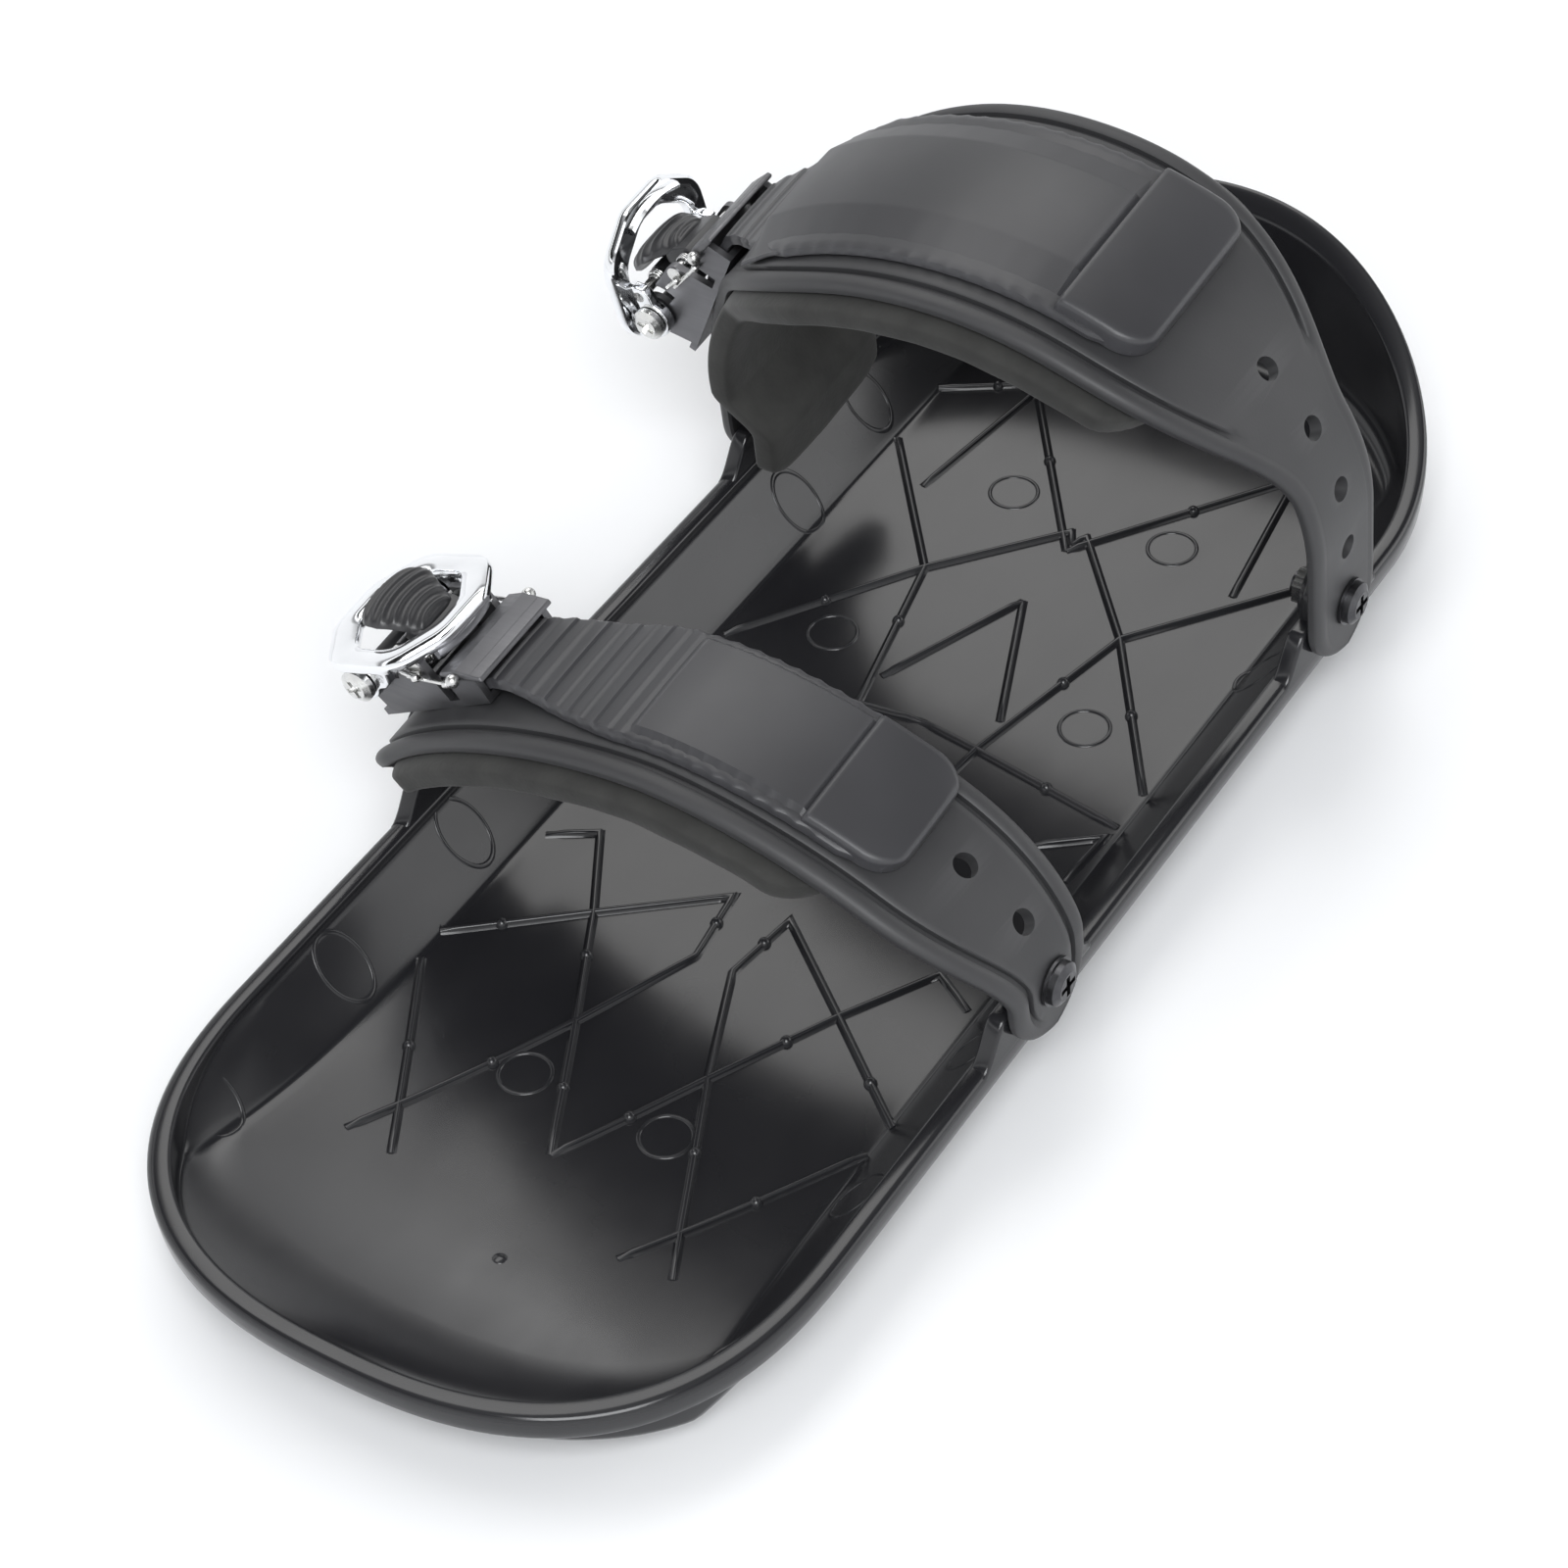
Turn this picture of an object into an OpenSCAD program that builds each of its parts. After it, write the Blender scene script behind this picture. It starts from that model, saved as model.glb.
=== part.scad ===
// Short plastic snow skate (one of a pair) with a toe strap, an ankle strap and two ratchet buckles.
// X points to the screw side, Y from toe to heel, Z up.
// The origin is on the ground, mid-way along the deck.

/* [Deck] */
// Width over the outer lip
deck_w = 143.5; // [120:0.5:172]
// Distance from the origin to the toe tip
toe_reach = 181.5; // [151.5:1:217.5]
// Distance from the origin to the back of the heel cup
heel_reach = 179; // [150:1:214]
// Height of the rim above the ground
rim_h = 20; // [17:0.5:24]
// How far the heel cup stands above the rim
heel_rise = 30; // [25:1:36]
// Thickness of the floor and the sloping flanks
skin = 3.8; // [3:0.1:4.8]
// Horizontal width of each sloping flank
flank_w = 12.5; // [10.5:0.5:15]
// Width of the lip on top of the rim
lip_w = 4.6; // [4:0.1:5.5]
// Height of the lip
lip_h = 6; // [5:0.1:7.2]
// How far the lip stands out from the hull
lip_out = 2.2; // [1.8:0.1:2.6]
// Length of the rounded toe end
toe_round = 69; // [58:1:82]
// Length of the rounded heel end
heel_round = 68; // [57:1:81]
// Length of the toe rocker, where the sole curves up
toe_rocker = 92; // [77:1:110]
// Length of the heel rocker
heel_rocker = 46; // [39:1:55]
// Height of the toe sole above the ground at the tip
toe_lift = 13; // [10.9:0.1:13.4]
// Height of the heel sole above the ground at the back
heel_lift = 3; // [2.5:0.1:3.6]

/* [Floor web] */
// Width of a web rib
rib_w = 1.5; // [1.2:0.1:1.8]
// Height of a web rib
rib_h = 1.1; // [0.9:0.1:1.3]
// Diameter of the moulding rings on the floor
ring_d = 11; // [9:0.5:13]
// Height of the moulding rings
ring_h = 0.4; // [0.3:0.05:0.5]

/* [Strap ears] */
// Toe hinge, distance in front of the origin
toe_hinge = 41.8; // [35:0.2:50]
// Ankle hinge, distance behind the origin
ankle_hinge = 83; // [70:0.5:92]
// Height of both hinges above the rim
hinge_rise = 10; // [8.5:0.1:12]
// Thickness of an ear
ear_t = 4; // [3.4:0.1:4.8]
// Length of an ear along the rim
ear_len = 42; // [35:0.5:50]
// Radius of the boss round a hinge bore
boss_r = 8; // [7:0.1:9]
// Gap between an ear and its strap
strap_gap = 0.3; // [0.25:0.05:0.4]

/* [Straps] */
// Thickness of the moulded straps
strap_t = 3.2; // [2.7:0.1:3.8]
// Thickness of the foam pads
pad_t = 6.5; // [5.4:0.1:7.8]
// Width of the strap stem at an ear
stem_w = 26; // [22:0.5:31]
// How far the toe strap reaches in front of its hinge, over the foot
toe_front = 23; // [19.5:0.5:27.5]
// How far the toe strap reaches behind its hinge, over the foot
toe_rear = 16; // [14:0.5:19]
// Half the width of the ankle strap, over the foot
ankle_half = 33; // [27.5:0.5:39]
// Height of the toe strap above its hinge
toe_arch = 42; // [35:0.5:50]
// Height of the ankle strap above its hinge
ankle_arch = 80; // [67:1:96]
// Straight height of the toe strap above its hinge
toe_leg = 3; // [2.5:0.1:3.6]
// Straight height of the ankle strap above its hinge
ankle_leg = 20; // [17:0.5:24]
// Forward lean of the toe strap
toe_lean = 4; // [3.4:0.1:4.8]
// Forward lean of the ankle strap
ankle_lean = 4; // [3.4:0.1:4.8]
// Diameter of the spare adjusting holes
spare_hole = 5.4; // [4.5:0.1:6.4]
// Distance between adjusting holes
hole_pitch = 16; // [13.5:0.1:19]
// Width of the grooves along the strap edges
groove_w = 1.8; // [1.5:0.1:2.1]
// Depth of the grooves
groove_d = 1.8; // [1.5:0.1:2.1]

/* [Ladder straps] */
// Thickness of the ladder straps
ladder_t = 2.8; // [2.4:0.1:3.3]
// Width of the ladder inside the buckle
ladder_w = 20; // [17:0.5:24]
// Width of the toe cover band
toe_cover_w = 32; // [27:0.5:38]
// Width of the ankle cover band
ankle_cover_w = 48; // [40:0.5:54]
// Height of a ladder tooth
tooth_h = 1; // [0.8:0.1:1.2]
// How far the ladder's tip reaches past the middle of the buckle
tail_reach = 21; // [19:0.5:22]

/* [Buckles] */
// Wall thickness of the buckle frame
frame_t = 1.6; // [1.4:0.1:1.9]
// Length of the buckle frame
frame_len = 36; // [33:0.5:42]
// Height of the lever bolt over the strap
lever_rise = 11; // [10:0.1:13]
// Length of the lever's ring
ring_len = 34; // [32:0.5:40]
// Width of the ring's flat band
band_w = 5.5; // [4.6:0.1:6.5]
// Diameter of the lever bolt
bolt_d = 4; // [3.4:0.1:4.6]
// Diameter of the pawl pins
pin_d = 2.6; // [2.2:0.1:3]
// Opening angle of the toe lever at rest
toe_lever_open = 0; // [0:1:8]
// Opening angle of the ankle lever at rest
ankle_lever_open = 42; // [35:1:48]

/* [Fasteners] */
// Shank diameter of the strap screws
screw_d = 5; // [4.2:0.1:6]
// Head diameter of the strap screws
screw_head_d = 9.4; // [8:0.1:11.2]
// Running clearance of the hinge and pin bores, on the radius
run_fit = 0.06; // [0.03:0.01:0.09]

/* [Hidden] */

half_w = deck_w / 2;
hull_half = half_w - lip_out;
inner_half = half_w - lip_w;
floor_half = inner_half - flank_w;
hinge_z = rim_h + hinge_rise;
toe_square = 2.5;
heel_square = 2.12;
toe_start = -toe_reach + toe_rocker;
heel_start = heel_reach - heel_rocker;
tall = rim_h + heel_rise + 10;
steps = 20;
eps = 0.01;

TOE = 0;
ANKLE = 1;
function pick(k, toe, ankle) = k == TOE ? toe : ankle;
function mirror_x(p) = [-p[0], p[1]];
function reversed(v) = [for (i = [len(v) - 1 : -1 : 0]) v[i]];
function unit(v) = v / norm(v);
function smooth(t) = t <= 0 ? 0 : t >= 1 ? 1 : t * t * (3 - 2 * t);

// ---- deck ----

// One quarter of a rounded end: half width, length, squareness
function round_end(w, l, square) =
    [for (i = [0 : steps]) let (q = 90 * i / steps)
        [w * pow(cos(q), 2 / square), l * pow(sin(q), 2 / square)]];

// Plan outline of the deck, drawn in by a distance
module deck_plan(inset) {
    toe = round_end(half_w - inset, toe_round - inset, toe_square);
    heel = round_end(half_w - inset, heel_round - inset, heel_square);
    toe_y = -toe_reach + toe_round;
    heel_y = heel_reach - heel_round;
    polygon(concat(
        [for (p = heel) [p[0], heel_y + p[1]]],
        [for (p = reversed(heel)) [-p[0], heel_y + p[1]]],
        [for (p = toe) [-p[0], toe_y - p[1]]],
        [for (p = reversed(toe)) [p[0], toe_y - p[1]]]));
}

// Height of the sole at a place along the deck
function sole_z(y) =
    y < toe_start ? toe_lift * pow((toe_start - y) / toe_rocker, 2)
    : y > heel_start ? heel_lift * pow((y - heel_start) / heel_rocker, 2) : 0;

// Height of the rim at a place along the deck
function rim_z(y) =
    let (t = (y - (heel_reach - heel_round)) / heel_round) rim_h + (t > 0 ? heel_rise * pow(t, 2.3) : 0);

function along(from, to) = [for (i = [0 : steps]) from + (to - from) * i / steps];
function sole_line(up) = [
    for (y = concat(along(-toe_reach - 1, toe_start), along(heel_start, heel_reach + 1)))
    [y, sole_z(y) + up]];
function rim_line(up) = [for (y = concat([-toe_reach - 1], along(heel_reach - heel_round, heel_reach + 1)))
    [y, rim_z(y) + up]];

// A side outline, in Y and Z, made solid across the deck
module across(width) {
    rotate([90, 0, 90]) linear_extrude(width, center = true) children();
}

// A cross outline, in X and Z, made solid along the deck
module lengthwise() {
    rotate([90, 0, 0]) linear_extrude(3 * (toe_reach + heel_reach), center = true) children();
}

module hull_section(bottom_half, top_half, bottom, top) {
    polygon([[-bottom_half, bottom], [bottom_half, bottom], [top_half, top], [top_half, tall],
        [-top_half, tall], [-top_half, top]]);
}

module deck_shell() {
    difference() {
        intersection() {
            linear_extrude(tall) deck_plan(lip_out);
            lengthwise() hull_section(floor_half + skin / 3, hull_half, 0, rim_h - lip_h);
            across(deck_w) polygon(concat(sole_line(0), reversed(rim_line(0))));
        }
        intersection() {
            translate([0, 0, -1]) linear_extrude(tall + 2) deck_plan(lip_w);
            lengthwise() hull_section(floor_half, inner_half, skin, rim_h - lip_h / 3);
            across(deck_w) polygon(concat(sole_line(skin), reversed(rim_line(tall))));
        }
    }
}

module deck_lip() {
    intersection() {
        linear_extrude(tall) difference() {
            deck_plan(0);
            deck_plan(lip_w);
        }
        across(deck_w + 1) polygon(concat(rim_line(-lip_h), reversed(rim_line(0))));
    }
}

// Mirrored web of thin ribs: each chain lists its corners on the +X side
WEB = [
    [[39, -125], [33, -113], [16, -78], [4.5, -51], [7, -33], [30, -51], [55, -71]],
    [[52, -37], [42, -31], [30, -51], [16, -78], [0, -110]],
    [[54, -79], [27, -126]],
    [[53, 34], [25, 74], [2, 100], [0, 96.5]],
    [[0, 94], [34, 140], [40, 98]],
    [[54, 110], [25, 74], [15, 29], [14, 19]],
    [[0, 75], [15, 39]],
    [[0, 31], [15, 29], [53, 23]],
    [[40, 10], [52, 19], [51, 4]],
    [[35, 142], [55, 130]]];
RINGS = [[62, -137], [17, -94.5], [62, -92], [57, -54], [32, 46], [59, 75], [20.5, 106], [62, 110]];

// One side of a chain of ribs, with mitred corners and ends drawn out by half a rib
function chain_side(chain, d) = [for (i = [0 : len(chain) - 1]) let (
    last = len(chain) - 1,
    before = unit(chain[max(i, 1)] - chain[max(i, 1) - 1]),
    after = unit(chain[min(i, last - 1) + 1] - chain[min(i, last - 1)]),
    side = unit([-before[1] - after[1], before[0] + after[0]]),
    stretch = i == 0 ? -rib_w / 2 : i == last ? rib_w / 2 : 0)
    chain[i] + stretch * after + side * d / (before[0] * side[1] - before[1] * side[0])];

module deck_web() {
    intersection() {
        for (chain = WEB, flip = [0, 1]) {
            mirror([flip, 0, 0]) linear_extrude(tall)
                polygon(concat(chain_side(chain, rib_w / 2), reversed(chain_side(chain, -rib_w / 2))));
        }
        linear_extrude(tall) deck_plan(lip_w);
        lengthwise() hull_section(floor_half + skin / 3, hull_half, 0, rim_h - lip_h);
        across(deck_w) polygon(concat(sole_line(skin / 2), reversed(sole_line(skin + rib_h))));
    }
}

// Thin raised rings left by the mould's ejector pins, on the flat floor only
module deck_rings() {
    for (p = RINGS, flip = [0, 1]) {
        if (p[0] + ring_d / 2 < floor_half && p[1] - ring_d / 2 > toe_start) {
            mirror([flip, 0, 0]) translate([p[0], p[1], skin / 2]) difference() {
                cylinder(d = ring_d, h = skin / 2 + ring_h, $fn = 40);
                translate([0, 0, skin / 2]) cylinder(d = ring_d - 1.2, h = skin, $fn = 40);
            }
        }
    }
}

function hinge_y(k) = pick(k, -toe_hinge, ankle_hinge);

// One ear: a ramped plate on the rim with a boss round the hinge bore
module deck_ear(k) {
    ramp = hinge_rise * 0.55;
    translate([half_w - ear_t, hinge_y(k), 0]) {
        rotate([90, 0, 90]) linear_extrude(ear_t) polygon([
            [-ear_len / 2, rim_h - lip_h / 2], [ear_len / 2, rim_h - lip_h / 2],
            [ear_len / 2, rim_h], [ear_len / 2 - ramp, hinge_z - 1.5],
            [-ear_len / 2 + ramp, hinge_z - 1.5], [-ear_len / 2, rim_h]]);
        translate([0, 0, hinge_z]) rotate([0, 90, 0]) {
            cylinder(r = boss_r, h = ear_t / 2, $fn = 64);
            translate([0, 0, ear_t / 2])
                cylinder(r1 = boss_r, r2 = boss_r - ear_t, h = ear_t / 2, $fn = 64);
            translate([0, 0, -ear_t / 4]) cylinder(r = boss_r - 1, h = ear_t / 2, $fn = 64);
        }
    }
}

module hinge_bore(k, radius) {
    translate([0, hinge_y(k), hinge_z]) rotate([0, 90, 0])
        cylinder(r = radius, h = 2 * deck_w, center = true, $fn = 48);
}

module deck() {
    color([0.13, 0.13, 0.14]) difference() {
        union() {
            deck_shell();
            deck_lip();
            deck_web();
            deck_rings();
            for (k = [TOE, ANKLE], flip = [0, 1]) {
                mirror([flip, 0, 0]) deck_ear(k);
            }
        }
        for (k = [TOE, ANKLE]) {
            hinge_bore(k, screw_d / 2 + run_fit);
        }
    }
}

// ---- strap fasteners ----

head_t = 2.4;
washer_t = 0.6;
nut_t = 3;
nut_d = 8.6;
strap_out = half_w + strap_gap + strap_t;
boss_in = half_w - ear_t * 1.25;
head_x = strap_out + strap_gap + washer_t;

// Places something at each of the four hinges, with its Z along the screw, towards the outside
module at_hinges() {
    for (k = [TOE, ANKLE], flip = [0, 1]) {
        mirror([flip, 0, 0]) translate([0, hinge_y(k), hinge_z]) rotate([0, 90, 0]) children();
    }
}

module cross_recess(width, depth) {
    for (turn = [0, 90]) {
        rotate([0, 0, turn]) translate([-width / 2, -width / 8, -depth])
            cube([width, width / 4, depth + 1]);
    }
}

module pan_head(d, h) {
    difference() {
        union() {
            cylinder(d = d, h = h * 0.6, $fn = 48);
            translate([0, 0, h * 0.6]) cylinder(d1 = d, d2 = d * 0.66, h = h * 0.4, $fn = 48);
        }
        translate([0, 0, h]) cross_recess(d * 0.55, h * 0.55);
    }
}

module strap_screws() {
    color([0.32, 0.32, 0.34]) at_hinges() {
        translate([0, 0, boss_in - nut_t - 1])
            cylinder(d = screw_d, h = head_x - boss_in + nut_t + 1.5, $fn = 48);
        translate([0, 0, head_x]) pan_head(screw_head_d, head_t);
    }
}

module strap_washers() {
    color([0.45, 0.45, 0.47]) at_hinges() {
        translate([0, 0, head_x - washer_t]) difference() {
            cylinder(d = screw_head_d + 1.2, h = washer_t, $fn = 48);
            translate([0, 0, -1]) cylinder(r = screw_d / 2 + run_fit, h = washer_t + 2, $fn = 48);
        }
    }
}

module strap_nuts() {
    color([0.6, 0.6, 0.62]) at_hinges() {
        translate([0, 0, boss_in - nut_t]) difference() {
            cylinder(d = nut_d, h = nut_t, $fn = 6);
            translate([0, 0, -1]) cylinder(r = screw_d / 2 + run_fit, h = nut_t + 2, $fn = 48);
        }
    }
}

// ---- strap arches, drawn in the strap's own plane with the hinge at the origin ----

function arch_leg(k) = pick(k, toe_leg, ankle_leg);
function arch_b(k) = pick(k, toe_arch, ankle_arch) - arch_leg(k);
function arch_n(k) = pick(k, 1.7, 2);
function arch_at(k, q) = [
    sign(cos(q)) * strap_out * pow(abs(cos(q)), 2 / arch_n(k)),
    arch_leg(k) + arch_b(k) * pow(abs(sin(q)), 2 / arch_n(k))];
function arch_out(k, q) = let (n = arch_n(k), p = arch_at(k, q)) unit([
    sign(p[0]) * pow(abs(p[0]) / strap_out, n - 1) / strap_out,
    pow((p[1] - arch_leg(k)) / arch_b(k), n - 1) / arch_b(k)]);
function arch_off(k, q, d) = arch_at(k, q) + d * arch_out(k, q);
function arch_line(k, q0, q1, d) =
    [for (i = [0 : 2 * steps]) arch_off(k, q0 + (q1 - q0) * i / (2 * steps), d)];

// A closed band between two offsets of the whole arch, with straight legs down to a level
function full_band(k, d_out, d_in, low) = concat(
    [[strap_out + d_out, low]], arch_line(k, 0, 180, d_out), [[-strap_out - d_out, low]],
    [[-strap_out - d_in, low]], arch_line(k, 180, 0, d_in), [[strap_out + d_in, low]]);

// Moves a shape from the strap's plane to its place on the deck
module in_strap(k) {
    translate([0, hinge_y(k), hinge_z]) rotate([pick(k, toe_lean, ankle_lean), 0, 0]) children();
}

// An outline in the strap's plane, made solid across the strap
module strap_slab(width) {
    rotate([90, 0, 0]) linear_extrude(width, center = true) children();
}

stem_r = stem_w / 2;
function wide_half(k, rear) = k == ANKLE ? ankle_half : rear ? toe_rear : toe_front;
function flare_from(k, left, rear) = k == TOE ? (left ? -4 : 2) : ankle_arch * (rear ? 0.55 : 0.45);
function flare_to(k, left, rear) =
    k == TOE ? toe_arch * (left ? 0.4 : 0.7) : ankle_arch * (rear ? 1.03 : 0.95);
function flare_half(k, r, left, rear) = stem_r + (wide_half(k, rear) - stem_r)
    * smooth((r - flare_from(k, left, rear)) / (flare_to(k, left, rear) - flare_from(k, left, rear)));

// One edge of a strap seen from the side, narrow at the ear and wide over the foot
function flare_line(k, left, rear, grow) = [for (i = [0 : steps])
    let (r = i / steps * (pick(k, toe_arch, ankle_arch) + 12))
    [(rear ? 1 : -1) * (flare_half(k, r, left, rear) + grow), r]];

module flare_plan(k, left, grow) {
    polygon(concat(flare_line(k, left, true, grow), reversed(flare_line(k, left, false, grow))));
    circle(r = stem_r + grow, $fn = 64);
}

module side_solid(left) {
    translate([left ? -strap_out - 10 : 0, 0, 0]) rotate([90, 0, 90])
        linear_extrude(strap_out + 10) children();
}

// Both halves of the flare, a little wider by grow
module flare_mask(k, grow) {
    side_solid(false) flare_plan(k, false, grow);
    side_solid(true) flare_plan(k, true, grow);
}

// Distance from the hinge to each spare hole, measured up the strap
function hole_count(k) = pick(k, 2, 4);
function arc_len(k, q) = let (n = 24) arch_leg(k)
    + [for (i = 0, s = 0; i <= n; s = s + norm(arch_at(k, q * (i + 1) / n) - arch_at(k, q * i / n)), i = i + 1) s][n];
function arc_angle(k, s) = [for (q = 0, i = 0; i < 40; q = q + (s - arc_len(k, q)) * 0.55, i = i + 1) q][39];
function seat_at(k, s) = s < arch_leg(k)
    ? [[strap_out, s], [1, 0]]
    : let (q = arc_angle(k, s)) [arch_at(k, q), arch_out(k, q)];

module spare_bore(k, s) {
    seat = seat_at(k, s);
    translate([seat[0][0], 0, seat[0][1]]) rotate([0, 90 - atan2(seat[1][1], seat[1][0]), 0])
        cylinder(d = spare_hole, h = 3 * strap_t, center = true, $fn = 48);
}

// Grooves that run along both edges of the strap
groove_in = 4;
module edge_groove(k, left) {
    side_solid(left) for (rear = [false, true]) {
        line = [for (p = flare_line(k, left, rear, -groove_in)) if (p[1] > pick(k, 0, ankle_arch * 0.72)) p];
        inner = [for (p = line) [p[0] - (rear ? 1 : -1) * groove_w, p[1]]];
        polygon(concat(line, reversed(inner)));
    }
}

module strap_grooves(k) {
    intersection() {
        strap_slab(5 * ankle_half) polygon(full_band(k, 1, -groove_d, -stem_w));
        union() {
            edge_groove(k, false);
            edge_groove(k, true);
        }
    }
}

module strap(k) {
    color([0.16, 0.16, 0.17]) in_strap(k) difference() {
        intersection() {
            strap_slab(4 * ankle_half) polygon(full_band(k, 0, -strap_t, -stem_w));
            flare_mask(k, 0);
        }
        rotate([0, 90, 0]) cylinder(r = screw_d / 2 + run_fit, h = 2 * deck_w, center = true, $fn = 48);
        for (i = [1 : hole_count(k)]) {
            spare_bore(k, i * hole_pitch);
        }
        strap_grooves(k);
        ladder_bore(k);
        rivet_bore(k);
    }
}

// ---- foam pads ----

pad_gap = 0.15;
pad_out = -strap_t - pad_gap;
pad_in = pad_out - pad_t;
pad_grow = 3.5;
tuck_x = boss_in - nut_t - 1.6;
tuck_r = boss_r + 1.5;

// The right end stops short of the spare holes; the left end reaches down beside the deck wall
function pad_from(k) = pick(k, 50, 46);
function pad_line(k, d) = arch_line(k, pad_from(k), pick(k, 163, 180), d);
function pad_outline(k) = concat(
    pad_line(k, pad_out),
    k == TOE ? [] : [[-strap_out - pad_out, tuck_r + 8], [-tuck_x, tuck_r], [-tuck_x, -hinge_rise / 2],
        [-tuck_x + pad_t, -hinge_rise / 2], [-tuck_x + pad_t, tuck_r], [-strap_out - pad_in, tuck_r + 8]],
    reversed(pad_line(k, pad_in)));

module pad(k) {
    color([0.23, 0.23, 0.21]) in_strap(k) difference() {
        intersection() {
            strap_slab(4 * ankle_half) polygon(pad_outline(k));
            flare_mask(k, pad_grow);
        }
        screw_pocket(k);
        rivet_pocket(k);
    }
}

// ---- buckle seat: a local frame on the strap, X out and down along the strap, Z outwards ----

function seat_q(k) = pick(k, 140, 161);
function seat_p(k) = arch_at(k, seat_q(k));
function seat_tilt(k) = let (n = arch_out(k, seat_q(k))) atan2(-n[0], n[1]);
function seat_dir(k) = [-cos(seat_tilt(k)), -sin(seat_tilt(k))];
function seat_up(k) = [-sin(seat_tilt(k)), cos(seat_tilt(k))];
function from_seat(k, s, n) = seat_p(k) + s * seat_dir(k) + n * seat_up(k);

module in_buckle(k) {
    in_strap(k) translate([seat_p(k)[0], 0, seat_p(k)[1]]) rotate([0, -seat_tilt(k), 0]) rotate([0, 0, 180])
        children();
}

// ---- ladder straps ----

ladder_gap = 0.3;
floor_t = 1.6;
ladder_rise = floor_t + ladder_gap;
entry_s = -frame_len / 3;
tab_t = 5;
tab_len = 15;
function tab_q(k) = pick(k, 48, 60);
function lift_q(k) = pick(k, 112, 138);

function bezier(a, b, c, d, t) = pow(1 - t, 3) * a + 3 * pow(1 - t, 2) * t * b + 3 * (1 - t) * t * t * c
    + pow(t, 3) * d;
function arch_dir(k, q) = let (n = arch_out(k, q)) [-n[1], n[0]];
function ladder_lift(k) =
    let (a = arch_off(k, lift_q(k), ladder_gap), d = from_seat(k, entry_s, ladder_rise),
        reach = norm(d - a) / 3, b = a + reach * arch_dir(k, lift_q(k)), c = d - reach * seat_dir(k))
    [for (i = [1 : steps - 1]) bezier(a, b, c, d, i / steps)];
function ladder_straight(k) =
    [for (i = [0 : steps]) from_seat(k, entry_s + (tail_reach - entry_s) * i / steps, ladder_rise)];
function ladder_path(k) = concat(
    [for (i = [0 : steps]) arch_off(k, tab_q(k) + (lift_q(k) - tab_q(k)) * i / steps, ladder_gap)],
    ladder_lift(k), ladder_straight(k));

// Offsets each point of a path to its outer side; the side is on the right when moving from +X to -X
function path_out(path, i) =
    let (run = path[min(i + 1, len(path) - 1)] - path[max(i - 1, 0)]) unit([run[1], -run[0]]);
function teeth_from(k) = steps + pick(k, 4, 10);
function ladder_top(k) = let (path = ladder_path(k)) [for (i = [0 : len(path) - 1])
    path[i] + path_out(path, i) * (ladder_t + (i > teeth_from(k) && i % 2 == 0 ? tooth_h : 0))];

module ladder_profile(k) {
    polygon(concat(ladder_path(k), reversed(ladder_top(k))));
}

// Plan of the ladder: a wide cover band over the foot that narrows to the buckle
function ladder_line(k) =
    let (wide = pick(k, toe_cover_w, ankle_cover_w) / 2, slim = ladder_w / 2,
        near = from_seat(k, entry_s, 0)[0], tab = arch_at(k, tab_q(k))[0] + 6,
        wide_end = near + pick(k, 34, 26), round_r = 9)
    concat([[-2 * deck_w, slim], [near, slim], [wide_end, wide]],
        [for (i = [0 : 6]) [tab - round_r + round_r * sin(15 * i), wide - round_r + round_r * cos(15 * i)]]);

module ladder_plan(k) {
    line = ladder_line(k);
    polygon(concat(line, reversed([for (p = line) [p[0], -p[1]]])));
}

// The raised rounded tab at the end of the ladder, over its screw
module ladder_tab(k) {
    wide = pick(k, toe_cover_w, ankle_cover_w) / 2;
    q_end = tab_q(k) + pick(k, 15, 14);
    inner = arch_line(k, tab_q(k), q_end, ladder_gap);
    intersection() {
        strap_slab(2 * wide - 3)
            polygon(concat(inner, reversed(arch_line(k, tab_q(k), q_end, ladder_gap + tab_t))));
        translate([0, 0, -stem_w]) linear_extrude(2 * ankle_arch) ladder_plan(k);
    }
}

module ladder(k) {
    color([0.17, 0.17, 0.2]) in_strap(k) difference() {
        union() {
            intersection() {
                strap_slab(4 * ankle_half) ladder_profile(k);
                translate([0, 0, -stem_w]) linear_extrude(2 * ankle_arch) ladder_plan(k);
            }
            ladder_tab(k);
        }
        at_anchor(k) translate([0, 0, -1]) cylinder(r = anchor_d / 2, h = ladder_gap + tab_t, $fn = 40);
    }
}

// The ladder's screw comes from inside, through the strap, into the tab
function anchor_q(k) = tab_q(k) + pick(k, 8, 6);
anchor_d = 4;
anchor_head_d = 8;
anchor_head_t = 1.8;
module at_anchor(k) {
    p = arch_at(k, anchor_q(k));
    n = arch_out(k, anchor_q(k));
    translate([p[0], 0, p[1]]) rotate([0, 90 - atan2(n[1], n[0]), 0]) children();
}

// Hole in the strap for the ladder's screw, with a flat seat for its head
module ladder_bore(k) {
    at_anchor(k) {
        cylinder(r = anchor_d / 2 + run_fit, h = 40, center = true, $fn = 40);
        translate([0, 0, -strap_t - 4]) cylinder(d = anchor_head_d + 0.6, h = 4, $fn = 48);
    }
}

module ladder_screw(k) {
    color([0.2, 0.2, 0.21]) in_strap(k) at_anchor(k) {
        translate([0, 0, -strap_t - 0.5]) cylinder(d = anchor_d, h = strap_t + tab_t - 0.7, $fn = 40);
        translate([0, 0, -strap_t]) mirror([0, 0, 1]) pan_head(anchor_head_d, anchor_head_t);
    }
}

module screw_pocket(k) {
    at_anchor(k) translate([0, 0, -strap_t - anchor_head_t - 0.4])
        cylinder(d = anchor_head_d + 1.2, h = strap_t + 3, $fn = 48);
}

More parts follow.
